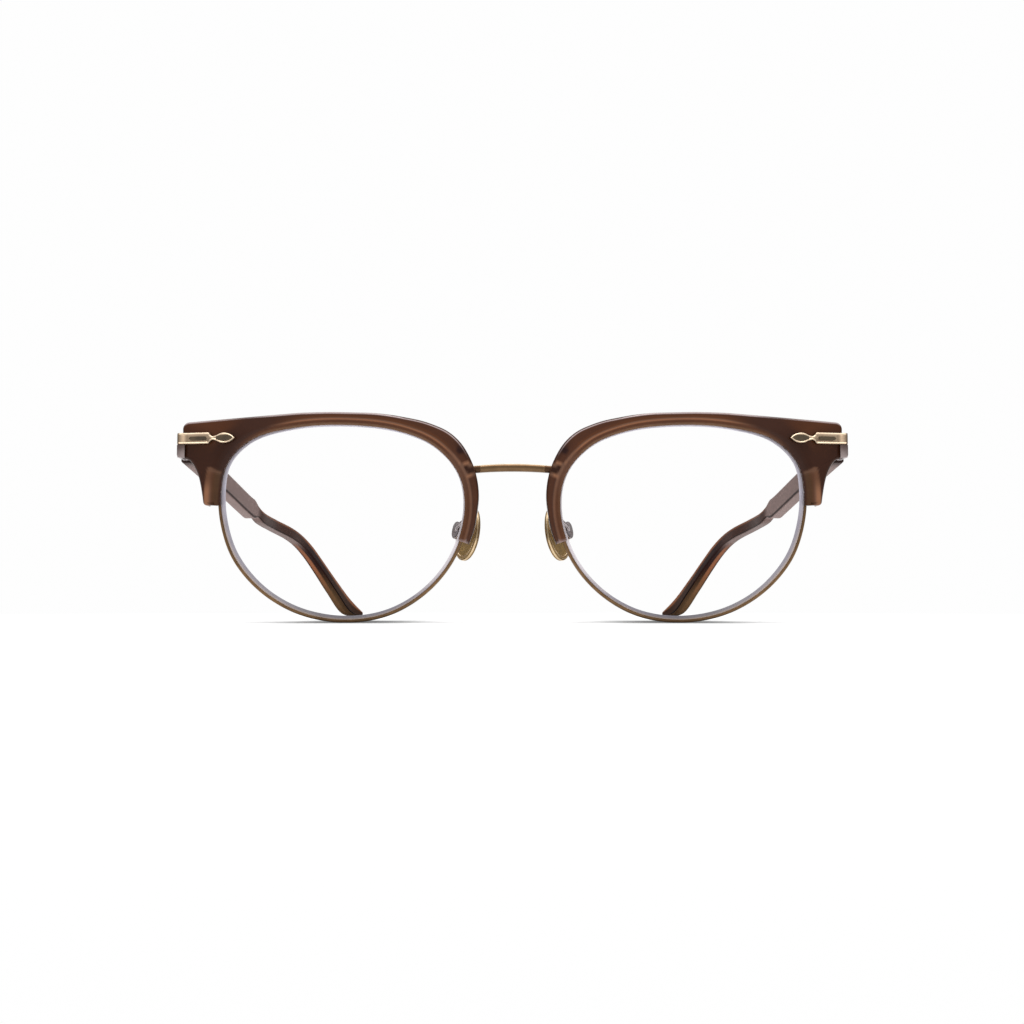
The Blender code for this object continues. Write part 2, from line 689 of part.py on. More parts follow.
def make_brow_screw(side, finish, parent):
    """The screw that holds the brow's nose end to the eyewire's lug."""
    root_spot, out, _ = lug_axes(side)
    spot = root_spot + out * LUG_HOLE_OFFSET
    return front_screw("brow_screw", side, spot, EYEWIRE_BACK + CLEARANCE, finish, parent)


def make_endpiece_screw(side, finish, parent):
    """The screw that holds the end piece's plate to the brow."""
    spot = Vector(plate_screw_spot())
    return front_screw("endpiece_screw", side, spot, PLATE_BACK + CLEARANCE, finish, parent)


def front_screw(name, side, spot, seat, finish, parent):
    """A screw into the brow from behind, with its head on a seat."""
    under_head = laid(side, spot.x, seat, spot.y)
    tip = laid(side, spot.x, screw_tip_depth(), spot.y)
    shank, head = screw_meshes(under_head, tip, SCREW_RADIUS, SCREW_HEAD_RADIUS, SCREW_HEAD_HEIGHT)
    screw = part(f"{name}_{SIDE_NAMES[side]}", shank, finish, parent)
    return boolean(screw, "UNION", (head,))


def make_closing_screw(side, finish, parent):
    top, bottom = closing_axis(side)
    run = (bottom - top).normalized()
    shank, head = screw_meshes(bottom + run * CLEARANCE, top, SCREW_RADIUS - CLEARANCE,
                               CLOSING_HEAD_RADIUS, SCREW_HEAD_HEIGHT)
    screw = part(f"closing_screw_{SIDE_NAMES[side]}", shank, finish, parent)
    return boolean(screw, "UNION", (head,))


def plaque_half():
    """Upper half of the plaque's outline from the side of the front to the leaf's tip."""
    bar_in = SIDE_OUT_X - SIDE_THICKNESS - PLAQUE_BAR
    neck_in = bar_in - PLAQUE_NECK_GAP
    half = PLAQUE_HEIGHT / 2
    line = [(SIDE_OUT_X, half), (bar_in, half), (neck_in + PLAQUE_NECK_GAP / 4, PLAQUE_NECK / 2)]
    line += leaf_half(neck_in, 1.0)
    return line


def leaf_half(neck_in, size):
    """Upper half of the spear-shaped leaf, from its neck to its tip, at a size about its middle."""
    middle = neck_in - PLAQUE_LEAF_LENGTH / 2
    points = [(0.0, PLAQUE_NECK / PLAQUE_LEAF_HEIGHT)] + [(along, rise) for along, rise in LEAF_SHARES]
    line = []
    for spot in smooth_points(points, 2):
        across = neck_in - spot.x * PLAQUE_LEAF_LENGTH
        line.append((between(middle, across, size), spot.y * PLAQUE_LEAF_HEIGHT / 2 * size))
    return line


def both_halves(half):
    """A whole outline about the plaque's middle line from its upper half."""
    lower = [(x, -z) for x, z in reversed(half) if z > 0]
    return [(x, PLAQUE_Z + z) for x, z in half + lower]


def make_plaque(side, finish, parent):
    """Bar with a spear-shaped end on the brow's front, which turns the corner to the side."""
    front = -CLEARANCE - PLAQUE_THICKNESS
    shown = plate(side, both_halves(plaque_half()), front, -CLEARANCE)
    plaque = part(f"plaque_{SIDE_NAMES[side]}", shown, finish, parent)
    turned = box(side, (SIDE_X, -CLEARANCE - JOIN_OVERLAP, PLAQUE_Z - PLAQUE_HEIGHT / 2),
                 (SIDE_OUT_X, PLAQUE_SIDE - CLEARANCE, PLAQUE_Z + PLAQUE_HEIGHT / 2), wrapped=True)
    boolean(plaque, "UNION", (turned,))
    floor = front + PLAQUE_RECESS
    bar_in = SIDE_OUT_X - SIDE_THICKNESS - PLAQUE_BAR
    stripe_in = bar_in + PLAQUE_STRIPE_HEIGHT
    stripe = box(side, (stripe_in, front - CUT_OVERRUN, PLAQUE_Z - PLAQUE_STRIPE_HEIGHT / 2),
                 (stripe_in + PLAQUE_STRIPE_LENGTH, floor,
                  PLAQUE_Z + PLAQUE_STRIPE_HEIGHT / 2), wrapped=True)
    inner_leaf = leaf_half(bar_in - PLAQUE_NECK_GAP, LEAF_RECESS_SHARE)
    leaf = plate(side, both_halves(inner_leaf), front - CUT_OVERRUN, floor)
    return boolean(plaque, "DIFFERENCE", (stripe, leaf))


def make_endpiece(side, finish, parent):
    """Plates behind and beside the end block, with the outer two hinge barrels."""
    inner_x = BLOCK_X - PLATE_REACH
    heel_x = BLOCK_X - BLOCK_TAPER - BLOCK_HEEL
    outline = ((inner_x, PLATE_TOP_Z), (SIDE_OUT_X, PLATE_TOP_Z), (SIDE_OUT_X, PLATE_LOW_Z),
               (heel_x, PLATE_LOW_Z), (heel_x - PLATE_DROP, PLATE_LOW_Z - PLATE_DROP),
               (inner_x, PLATE_LOW_Z - PLATE_DROP))
    back_plate = plate(side, outline, PLATE_FRONT, PLATE_BACK)
    piece = part(f"endpiece_{SIDE_NAMES[side]}", back_plate, finish, parent)
    low_top = PLAQUE_Z - PLAQUE_HEIGHT / 2 - CLEARANCE
    flange = box(side, (SIDE_OUT_X - FLANGE_WIDTH, -CLEARANCE - FLANGE_THICKNESS, PLATE_LOW_Z),
                 (SIDE_OUT_X, -CLEARANCE, low_top), wrapped=True)
    side_low = box(side, (SIDE_X, -CLEARANCE - FLANGE_THICKNESS / 2, PLATE_LOW_Z + JOIN_OVERLAP / 2),
                   (SIDE_OUT_X, PLATE_FRONT + JOIN_OVERLAP, low_top - JOIN_OVERLAP / 2), wrapped=True)
    side_high = box(side, (SIDE_X, PLAQUE_SIDE, PLATE_LOW_Z + JOIN_OVERLAP),
                    (SIDE_OUT_X, PLATE_FRONT + JOIN_OVERLAP, PLATE_TOP_Z), wrapped=True)
    barrels = []
    for level in (-1, 1):
        low = TEMPLE_Z + level * HINGE_PITCH - BARREL_HEIGHT / 2
        barrels.append(rod(laid(side, HINGE_X, HINGE_DEPTH, low, False),
                           laid(side, HINGE_X, HINGE_DEPTH, low + BARREL_HEIGHT, False), BARREL_RADIUS))
        foot_depth = HINGE_DEPTH - BARREL_RADIUS - CLEARANCE - JOIN_OVERLAP
        barrels.append(box(side, (HINGE_X - HINGE_LINK / 2, foot_depth, low),
                           (HINGE_X + HINGE_LINK / 2, HINGE_DEPTH, low + BARREL_HEIGHT)))
    boolean(piece, "UNION", (side_low, side_high, flange, *barrels))
    bore = rod(laid(side, HINGE_X, HINGE_DEPTH, HINGE_LOW_Z - CUT_OVERRUN, False),
               laid(side, HINGE_X, HINGE_DEPTH, HINGE_TOP_Z + CUT_OVERRUN, False),
               HINGE_SCREW_RADIUS + CLEARANCE)
    hole = plate_screw_rod(side, SCREW_RADIUS + CLEARANCE / 2, BROW_THICKNESS, PLATE_BACK + CUT_OVERRUN)
    return boolean(piece, "DIFFERENCE", (bore, hole))


def make_hinge_screw(side, finish, parent):
    top = laid(side, HINGE_X, HINGE_DEPTH, HINGE_TOP_Z + CLEARANCE, False)
    tip = laid(side, HINGE_X, HINGE_DEPTH, HINGE_LOW_Z, False)
    shank, head = screw_meshes(top, tip, HINGE_SCREW_RADIUS, SCREW_HEAD_RADIUS, SCREW_HEAD_HEIGHT)
    screw = part(f"hinge_screw_{SIDE_NAMES[side]}", shank, finish, parent)
    return boolean(screw, "UNION", (head,))


def temple_stations(side):
    """Centre, height and thickness along the temple, on a smooth path."""
    rows = []
    for back, inward, down, tall, thick in TEMPLE_PATH_SHARES:
        rows.append((TEMPLE_X - TEMPLE_INSET * inward, TEMPLE_START + TEMPLE_REACH * back,
                     TEMPLE_Z - TEMPLE_DROP * down, TEMPLE_HEIGHT * tall, TEMPLE_THICKNESS * thick))
    path = smooth_points([Vector(row) for row in rows], TEMPLE_STEPS)
    return [(laid(side, row[0], row[1], row[2], False), row[3], row[4]) for row in path]


def station_axes(side, stations, index):
    """Outward, backward and upward directions of the temple at a station."""
    run = stations[min(index + 1, len(stations) - 1)][0] - stations[max(index - 1, 0)][0]
    run.normalize()
    if index == 0:
        run = Vector((0.0, 1.0, 0.0))
    outward = Vector((side, 0.0, 0.0))
    outward = (outward - run * outward.dot(run)).normalized()
    upward = outward.cross(run) * side
    return outward, run, upward.normalized()


def make_temple(side, finish, parent):
    """The acetate temple, bored for its core and let in for the hinge leaf."""
    stations = temple_stations(side)
    sections = []

    def section(centre, axes, tall, thick, chamfer):
        half_up = tall / 2
        half_out = thick / 2
        corners = ((half_out, half_up - chamfer), (half_out - chamfer, half_up),
                   (-half_out + chamfer, half_up), (-half_out, half_up - chamfer),
                   (-half_out, -half_up + chamfer), (-half_out + chamfer, -half_up),
                   (half_out - chamfer, -half_up), (half_out, -half_up + chamfer))
        return [centre + axes[0] * out + axes[2] * up for out, up in corners]

    for index, (centre, tall, thick) in enumerate(stations):
        axes = station_axes(side, stations, index)
        sections.append(section(centre, axes, tall, thick, TEMPLE_CHAMFER))
    centre, tall, thick = stations[-1]
    axes = station_axes(side, stations, len(stations) - 1)
    end = centre + axes[1] * TIP_ROUNDING * 0.6
    sections.append(section(end, axes, tall - TIP_ROUNDING, thick - TIP_ROUNDING, TEMPLE_CHAMFER))
    temple = part(f"temple_{SIDE_NAMES[side]}", loft(sections), finish, parent)
    bore = core_mesh(side, CORE_RADIUS + CLEARANCE, LEAF_LENGTH - CLEARANCE, CLEARANCE)
    pocket = leaf_block(side, CLEARANCE, CUT_OVERRUN)
    return boolean(temple, "DIFFERENCE", (bore, pocket))


def core_mesh(side, radius, start_back, extra):
    """A wire along the temple, from behind the hinge leaf to its stop before the tip."""
    stations = temple_stations(side)
    sections = []
    first = TEMPLE_START + start_back
    last = TEMPLE_START + TEMPLE_REACH * CORE_STOP_SHARE + extra
    places = [station[0] for station in stations]
    line = [between(near, far, (first - near.y) / (far.y - near.y)) for near, far in zip(places, places[1:])
            if near.y < first <= far.y]
    line += [place for place in places if first + CORE_RADIUS < place.y < last - CORE_RADIUS]
    line += [between(near, far, (last - near.y) / (far.y - near.y)) for near, far in zip(places, places[1:])
             if near.y < last <= far.y]
    wrapped = [(place, 0.0, 0.0) for place in line]
    for index, place in enumerate(line):
        outward, _, upward = station_axes(side, wrapped, index) if index else station_axes(side, wrapped, 1)
        turns = [2 * math.pi * (corner + 0.5) / 8 for corner in range(8)]
        sections.append([place + outward * math.cos(turn) * radius + upward * math.sin(turn) * radius
                         for turn in turns])
    return loft(sections)


def leaf_block(side, margin, overrun):
    """The hinge leaf's plate in the temple's inner face, or the pocket for it."""
    stations = temple_stations(side)
    axes = station_axes(side, stations, 1)
    start = stations[0][0]
    out_face = -TEMPLE_THICKNESS / 2 + LEAF_THICKNESS + margin
    in_face = -TEMPLE_THICKNESS / 2 - overrun
    length = LEAF_LENGTH + margin + overrun
    centre = start + axes[0] * (out_face + in_face) / 2 + axes[1] * (length / 2 - overrun)
    return block(centre, axes, (out_face - in_face, length, LEAF_HEIGHT + margin * 2))


def make_temple_hinge(side, finish, parent):
    """Leaf in the temple with the middle barrel of the hinge."""
    low = TEMPLE_Z - BARREL_HEIGHT / 2
    high = TEMPLE_Z + BARREL_HEIGHT / 2
    leaf = leaf_block(side, 0.0, 0.0)
    hinge = part(f"temple_hinge_{SIDE_NAMES[side]}", leaf, finish, parent)
    barrel = rod(laid(side, HINGE_X, HINGE_DEPTH, low, False), laid(side, HINGE_X, HINGE_DEPTH, high, False),
                 BARREL_RADIUS)
    link = box(side, (HINGE_X, HINGE_DEPTH - HINGE_LINK / 4, low),
               (TEMPLE_IN_X + LEAF_THICKNESS / 2, HINGE_DEPTH + BARREL_RADIUS * 0.8, high))
    boolean(hinge, "UNION", (barrel, link))
    bore = rod(laid(side, HINGE_X, HINGE_DEPTH, low - BARREL_GAP / 2, False),
               laid(side, HINGE_X, HINGE_DEPTH, high + BARREL_GAP / 2, False), HINGE_SCREW_RADIUS + CLEARANCE)
    return boolean(hinge, "DIFFERENCE", (bore,))


def make_temple_core(side, finish, parent):
    mesh = core_mesh(side, CORE_RADIUS, LEAF_LENGTH + CLEARANCE, 0.0)
    return part(f"temple_core_{SIDE_NAMES[side]}", mesh, finish, parent)


def pad_axes(side):
    """Backward, upward and noseward directions of a nose pad."""
    splay = math.radians(PAD_SPLAY)
    tilt = math.radians(PAD_TILT)
    back = Vector((math.sin(splay) * side, math.cos(splay), 0.0))
    lean = Vector((-math.sin(tilt) * side, 0.0, math.cos(tilt)))
    up = (lean - back * lean.dot(back)).normalized()
    nose = back.cross(up) * side
    if nose.x * side > 0:
        nose = -nose
    return back, up, nose


def pad_centre(side):
    return Vector((PAD_CENTRE_ACROSS * side, PAD_CENTRE_DEPTH, LENS_Z - PAD_DROP))


def pad_screw_place(side):
    """Middle of the pad's screw, on which the pad rocks."""
    nose = pad_axes(side)[2]
    return pad_centre(side) - nose * (PAD_THICKNESS + BOX_GAP + (BOX_DEPTH - BOX_WALL) / 2)


def make_nose_pad(side, finish, parent):
    """An egg-shaped metal pad with a raised edge on its outer face, and its rear lug."""
    back, up, nose = pad_axes(side)
    centre = pad_centre(side)
    half = PAD_THICKNESS / 2
    rows = ((0.1, -half + PAD_RIM), (PAD_RIM_SHARE, -half + PAD_RIM), (PAD_RIM_SHARE + 0.06, -half),
            (0.95, -half), (1.0, 0.0), (0.95, half), (0.6, half + PAD_CROWN * 0.75), (0.1, half + PAD_CROWN))
    sections = []
    for share, rise in rows:
        section = []
        for step in range(PAD_COUNT):
            turn = 2 * math.pi * step / PAD_COUNT
            narrow = 1 - PAD_EGG_SHARE * math.sin(turn)
            spot = back * math.cos(turn) * PAD_HALF_WIDTH * narrow + up * math.sin(turn) * PAD_HALF_HEIGHT
            section.append(centre + spot * share + nose * rise)
        sections.append(section)
    pad = part(f"nose_pad_{SIDE_NAMES[side]}", loft(sections), finish, parent)
    screw = pad_screw_place(side)
    reach = PAD_THICKNESS + BOX_GAP + BOX_DEPTH - BOX_WALL - CLEARANCE - half + PAD_RIM - JOIN_OVERLAP
    start = -half + PAD_RIM + JOIN_OVERLAP
    lug = block(centre + nose * (start - reach / 2), (back, up, nose), (LUG_BLADE, LUG_BLADE_HEIGHT, reach))
    boolean(pad, "UNION", (lug,))
    hole = rod(screw - back * LUG_BLADE, screw + back * LUG_BLADE, PAD_SCREW_RADIUS + PAD_SCREW_GAP / 2, 12)
    return boolean(pad, "DIFFERENCE", (hole,))


def box_width():
    """Outer width of the pad box: the lug, its gaps and two walls."""
    return LUG_BLADE + CLEARANCE * 2 + BOX_WALL * 2


def make_pad_arm(side, finish, parent):
    """Bent wire from the eyewire to the pad box, which takes the pad's lug."""
    back, up, nose = pad_axes(side)
    centre = pad_centre(side)
    front_face = PAD_THICKNESS + BOX_GAP
    box_middle = centre - nose * (front_face + BOX_DEPTH / 2)
    box_mesh = block(box_middle, (back, up, nose), (box_width(), BOX_HEIGHT, BOX_DEPTH))
    foot = rim_point(ARM_START_ANGLE, EYEWIRE_THICKNESS / 2)
    foot_place = laid(side, foot.x, EYEWIRE_BACK + CLEARANCE, foot.y)
    box_back = centre - nose * (front_face + BOX_DEPTH - BOX_WALL / 2)
    out = Vector((side, 0.0, 0.0))
    rise = Vector((0.0, 0.0, ARM_START_RISE))
    deep = Vector((0.0, ARM_START_RISE, 0.0))
    route = [
        foot_place, foot_place + deep * 0.45 + out * ARM_BULGE * 0.1,
        foot_place + deep * 0.8 + out * ARM_BULGE * 0.6 - rise * 0.12,
        between(foot_place, box_back, 0.55) + out * ARM_BULGE * 0.78 + rise * 0.05,
        between(foot_place, box_back, 0.8) + out * ARM_BULGE * 0.55 - rise * 0.14,
        box_back,
    ]
    arm = part(f"pad_arm_{SIDE_NAMES[side]}", wire_mesh(route, ARM_RADIUS), finish, parent)
    boolean(arm, "UNION", (box_mesh,))
    slot_depth = BOX_DEPTH - BOX_WALL
    slot_middle = centre - nose * (front_face + (slot_depth - CUT_OVERRUN) / 2)
    slot = block(slot_middle, (back, up, nose),
                 (LUG_BLADE + CLEARANCE * 2, BOX_HEIGHT + CUT_OVERRUN, slot_depth + CUT_OVERRUN))
    screw = pad_screw_place(side)
    reach = back * box_width()
    hole = rod(screw - reach, screw + reach, PAD_SCREW_RADIUS + PAD_SCREW_GAP / 2)
    return boolean(arm, "DIFFERENCE", (slot, hole))


def wire_mesh(route, radius):
    """A round wire on a smooth route, from a curve with a bevel and filled caps."""
    curve = bpy.data.curves.new("wire", "CURVE")
    curve.dimensions = "3D"
    curve.bevel_depth = radius
    curve.bevel_resolution = 2
    curve.use_fill_caps = True
    line = smooth_points(route, WIRE_STEPS)
    spline = curve.splines.new("POLY")
    spline.points.add(len(line) - 1)
    for point, place in zip(spline.points, line):
        point.co = (*place, 1.0)
    holder = bpy.data.objects.new("wire", curve)
    bpy.context.scene.collection.objects.link(holder)
    ready = holder.evaluated_get(bpy.context.evaluated_depsgraph_get())
    mesh = bpy.data.meshes.new_from_object(ready)
    bpy.data.objects.remove(holder, do_unlink=True)
    shape = bmesh.new()
    shape.from_mesh(mesh)
    bmesh.ops.remove_doubles(shape, verts=shape.verts, dist=radius / 1000)
    return finished(shape)


def make_pad_screw(side, finish, parent):
    back = pad_axes(side)[0]
    middle = pad_screw_place(side)
    half = box_width() / 2
    shank, head = screw_meshes(middle - back * (half + CLEARANCE), middle + back * half, PAD_SCREW_RADIUS,
                               PAD_SCREW_HEAD, PAD_SCREW_HEAD / 2)
    screw = part(f"pad_screw_{SIDE_NAMES[side]}", shank, finish, parent)
    return boolean(screw, "UNION", (head,))


SIDE_NAMES = {LEFT: "left", RIGHT: "right"}

clear_scene()
parts = collection("panto_eyeglasses")
cutters = collection("panto_eyeglasses_cutters")
root = empty("eyeglasses_origin", Vector((0.0, -HALF_DEPTH, 0.0)))


def build_side(side, finishes):
    name = SIDE_NAMES[side]
    fold = empty(f"temple_fold_{name}", laid(side, HINGE_X, HINGE_DEPTH, TEMPLE_Z, False), root)
    rock = empty(f"pad_rock_{name}", pad_screw_place(side), root)
    make_brow(side, finishes["acetate"], root)
    make_eyewire(side, finishes["antique"], root)
    make_lens(side, finishes["glass"], root)
    make_brow_screw(side, finishes["steel"], root)
    make_endpiece_screw(side, finishes["steel"], root)
    make_closing_screw(side, finishes["steel"], root)
    make_plaque(side, finishes["gold"], root)
    make_endpiece(side, finishes["silver"], root)
    make_hinge_screw(side, finishes["steel"], root)
    make_pad_arm(side, finishes["silver"], root)
    make_pad_screw(side, finishes["steel"], root)
    make_nose_pad(side, finishes["gold"], rock)
    make_temple(side, finishes["temple"], fold)
    make_temple_core(side, finishes["steel"], fold)
    make_temple_hinge(side, finishes["silver"], fold)


def main():
    finishes = {
        "acetate": material("brown_acetate", (0.075, 0.032, 0.020), 0.22, transmission=0.25),
        "temple": material("temple_acetate", (0.095, 0.055, 0.045), 0.25, transmission=0.2),
        "antique": material("antique_gold", (0.17, 0.11, 0.06), 0.35, 1.0),
        "gold": material("pale_gold", (0.55, 0.40, 0.25), 0.28, 1.0),
        "silver": material("grey_metal", (0.36, 0.33, 0.33), 0.3, 1.0),
        "steel": material("screw_steel", (0.30, 0.29, 0.28), 0.35, 1.0),
        "glass": material("clear_lens", (0.96, 0.97, 0.98), 0.02, transmission=1.0),
    }
    make_bridge(finishes["antique"], root)
    for side in (LEFT, RIGHT):
        build_side(side, finishes)
    bpy.context.view_layer.update()


main()
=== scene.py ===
"""Looks of the panto eyeglasses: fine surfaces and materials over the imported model.

Front pieces are laid out flat, as (across, depth, height) in metres, and then wrapped round the
face, in the same way and from the same sizes as the solids that they stand for.
"""
import math

import bmesh
import bpy
import numpy as np
from mathutils import Matrix, Vector


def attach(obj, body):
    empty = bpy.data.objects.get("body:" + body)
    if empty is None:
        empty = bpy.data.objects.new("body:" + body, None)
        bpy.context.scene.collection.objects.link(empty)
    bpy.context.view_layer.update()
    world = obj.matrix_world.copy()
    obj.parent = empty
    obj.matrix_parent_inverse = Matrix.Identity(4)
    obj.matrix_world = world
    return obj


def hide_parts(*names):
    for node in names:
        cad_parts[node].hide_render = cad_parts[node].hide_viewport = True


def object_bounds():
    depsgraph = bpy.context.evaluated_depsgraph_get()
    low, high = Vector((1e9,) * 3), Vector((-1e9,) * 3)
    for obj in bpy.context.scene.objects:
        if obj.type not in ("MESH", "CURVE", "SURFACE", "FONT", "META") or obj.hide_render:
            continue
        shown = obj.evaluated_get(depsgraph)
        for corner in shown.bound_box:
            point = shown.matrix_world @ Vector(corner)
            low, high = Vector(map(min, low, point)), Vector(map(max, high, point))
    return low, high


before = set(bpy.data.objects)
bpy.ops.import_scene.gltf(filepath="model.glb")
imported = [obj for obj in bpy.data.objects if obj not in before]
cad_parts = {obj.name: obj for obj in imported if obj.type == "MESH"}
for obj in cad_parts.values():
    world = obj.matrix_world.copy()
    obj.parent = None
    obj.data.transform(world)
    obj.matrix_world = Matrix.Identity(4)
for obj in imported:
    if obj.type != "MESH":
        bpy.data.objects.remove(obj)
cad_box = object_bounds()

MM = 0.001
LEFT, RIGHT = 1, -1
SIDE_NAMES = {LEFT: "left", RIGHT: "right"}

# Sizes of the solids
CLEARANCE = 0.25 * MM
LENS_WIDTH = 52.3 * MM
LENS_HEIGHT = 41.0 * MM
LENS_GAP = 20.1 * MM
WRAP_RADIUS = 400.0 * MM
RIM_SHARES = (
    (-1.0, 0.12), (-0.95, 0.48), (-0.75, 0.772), (-0.455, 0.932), (-0.03, 1.0), (0.41, 0.974),
    (0.755, 0.852), (0.95, 0.61), (1.0, 0.27), (0.962, -0.09), (0.86, -0.395), (0.64, -0.70),
    (0.33, -0.92), (-0.04, -1.0), (-0.39, -0.925), (-0.695, -0.685), (-0.905, -0.335),
)
EYEWIRE_THICKNESS = 0.85 * MM
EYEWIRE_DEPTH = 1.9 * MM
LENS_THICKNESS = 1.9 * MM
LENS_DOME = 1.2 * MM
BROW_THICKNESS = 3.8 * MM
LIP_THICKNESS = 1.1 * MM
LIP_EDGE = 0.6 * MM
LIP_CHAMFER = 1.2 * MM
BROW_WIDTH = 2.65 * MM
BROW_WIDTH_SHARES = (
    (-9.5, 0.89), (-4.0, 0.98), (4.0, 1.01), (10.0, 1.13), (18.0, 1.27), (24.0, 1.41), (31.0, 1.60),
    (34.5, 1.63), (38.0, 1.60), (43.0, 1.46), (49.0, 1.34), (56.0, 1.21), (63.0, 1.14), (72.0, 1.09),
    (85.0, 1.02), (100.0, 1.04), (108.0, 1.08), (116.0, 1.17),
)
BLOCK_WIDTH = 8.85 * MM
BLOCK_RISE = 1.1 * MM
BLOCK_SIDE = 7.7 * MM
BLOCK_TAPER = 0.3 * MM
BLOCK_CORNER = 1.5 * MM
BLOCK_HEEL = 0.5 * MM
TAIL_WIDTH = 3.9 * MM
TAIL_HEIGHT = 3.62 * MM
TAIL_CORNER = 0.9 * MM
TAIL_ANGLE = 172.1
SHOULDER_SHARES = ((0.27, 0.04), (0.46, 0.13), (0.61, 0.25), (0.74, 0.39), (0.84, 0.56), (0.95, 0.83))
BRIDGE_HEIGHT = 1.72 * MM
BRIDGE_END_HEIGHT = 1.5 * MM
BRIDGE_DEPTH = 1.9 * MM
BRIDGE_RISE = 0.62 * MM
BRIDGE_LEVEL = 10.75 * MM
BRIDGE_SLOT = 2.6 * MM
LUG_ANGLE = 31.5
LUG_REACH = 3.3 * MM
LUG_WIDTH = 1.8 * MM
LUG_THICKNESS = 0.8 * MM
LUG_HOLE_OFFSET = 2.55 * MM
SCREW_RADIUS = 0.5 * MM
SCREW_HEAD_RADIUS = 0.9 * MM
SCREW_HEAD_HEIGHT = 0.5 * MM
CLOSING_ANGLE = 166.0
CLOSING_REACH = 2.3 * MM
CLOSING_HEIGHT = 4.2 * MM
CLOSING_RECESS_WALL = 0.8 * MM
CLOSING_HEAD_RADIUS = 0.6 * MM
CLOSING_RECESS_ANGLE = 158.0
CLOSING_RECESS_END_ANGLE = 176.5
EYEWIRE_SLIT = 0.35 * MM
PLATE_THICKNESS = 0.9 * MM
PLATE_REACH = 8.6 * MM
PLATE_HEIGHT = 5.3 * MM
PLATE_DROP = 2.2 * MM
PLATE_TOP = 2.35 * MM
PLATE_SCREW_INSET = 1.4 * MM
SIDE_THICKNESS = 0.65 * MM
FLANGE_WIDTH = 1.75 * MM
FLANGE_THICKNESS = 0.5 * MM
PLAQUE_THICKNESS = 0.75 * MM
PLAQUE_HEIGHT = 2.5 * MM
PLAQUE_BAR = 6.3 * MM
PLAQUE_NECK_GAP = 1.0 * MM
PLAQUE_NECK = 0.85 * MM
PLAQUE_LEAF_LENGTH = 4.95 * MM
PLAQUE_LEAF_HEIGHT = 2.3 * MM
PLAQUE_SIDE = 1.9 * MM
LEAF_SHARES = ((0.16, 0.55), (0.36, 0.93), (0.52, 1.0), (0.70, 0.86), (0.87, 0.48), (1.0, 0.0))
BARREL_RADIUS = 1.2 * MM
BARREL_HEIGHT = 1.25 * MM
BARREL_GAP = 0.2 * MM
HINGE_SCREW_RADIUS = 0.5 * MM
HINGE_LINK = 1.5 * MM
TEMPLE_JOINT_GAP = 0.4 * MM
LEAF_LENGTH = 9.0 * MM
LEAF_THICKNESS = 0.85 * MM
LEAF_HEIGHT = 3.0 * MM
TEMPLE_HEIGHT = 4.85 * MM
TEMPLE_THICKNESS = 2.9 * MM
TEMPLE_PROUD = 0.62 * MM
TEMPLE_REACH = 132.6 * MM
TEMPLE_INSET = 21.0 * MM
TEMPLE_SINK = 0.65 * MM
TEMPLE_DROP = 35.25 * MM
TIP_ROUNDING = 1.0 * MM
TEMPLE_PATH_SHARES = (
    (0.0, 0.0, 0.0, 1.0, 1.0), (0.205, 0.064, 0.122, 1.0, 1.0), (0.362, 0.114, 0.223, 1.01, 1.0),
    (0.396, 0.126, 0.242, 1.0, 1.02), (0.423, 0.148, 0.257, 0.63, 0.89), (0.453, 0.172, 0.289, 0.62, 0.89),
    (0.550, 0.213, 0.322, 0.625, 0.925), (0.645, 0.326, 0.370, 0.645, 0.97),
    (0.708, 0.393, 0.419, 0.652, 1.01), (0.761, 0.471, 0.498, 0.68, 1.065),
    (0.814, 0.558, 0.608, 0.70, 1.12), (0.881, 0.708, 0.790, 0.81, 1.175),
    (0.949, 0.868, 0.965, 0.88, 1.195), (1.0, 1.018, 1.033, 0.30, 1.0),
)
PAD_CENTRE_ACROSS = 9.58 * MM
PAD_CENTRE_DEPTH = 9.6 * MM
PAD_DROP = 2.25 * MM
PAD_HALF_HEIGHT = 6.0 * MM
PAD_HALF_WIDTH = 3.5 * MM
PAD_THICKNESS = 1.1 * MM
PAD_SPLAY = 40.0
PAD_TILT = 17.0
PAD_EGG_SHARE = 0.12
LUG_BLADE = 0.9 * MM
LUG_BLADE_HEIGHT = 1.6 * MM
BOX_WALL = 0.5 * MM
BOX_HEIGHT = 3.6 * MM
BOX_DEPTH = 2.0 * MM
BOX_GAP = 0.55 * MM
PAD_SCREW_RADIUS = 0.35 * MM
PAD_SCREW_HEAD = 0.7 * MM
ARM_RADIUS = 0.5 * MM
ARM_BULGE = 1.7 * MM
ARM_START_ANGLE = 1.5
ARM_START_RISE = 2.6 * MM

# Sizes of the finish
SHARP_TURN = 0.6
BROW_EDGE = 0.62 * MM
BROW_STEPS = 110
LIP_BACK = 0.17 * MM
LIP_BACK_START, LIP_BACK_SPAN = 114.0, 26.0
EYEWIRE_ROUNDING = 0.26 * MM
EYEWIRE_GROOVE = ((0.2, -0.55), (0.42, -0.1), (0.02, 0.62))
EYEWIRE_STEPS = 260
LENS_STEPS = 180
LENS_FACE_RINGS = (0.12, 0.3, 0.5, 0.7, 0.85)
LENS_BAND_ROWS = (
    (-45, 0.45), (-10, 0.45), (0, 0.38), (10, 0.3), (30, 0.1), (60, 0.06), (110, 0.06), (120, 0.16),
    (140, 0.38), (150, 0.5), (160, 0.75), (170, 0.88), (200, 0.88), (225, 0.7), (270, 0.66), (315, 0.45),
)
LENS_BAND_DEPTH = 0.22 * MM
LENS_EDGE_REACH = 0.19 * MM
LENS_GROUND_ROWS = range(6, 12)
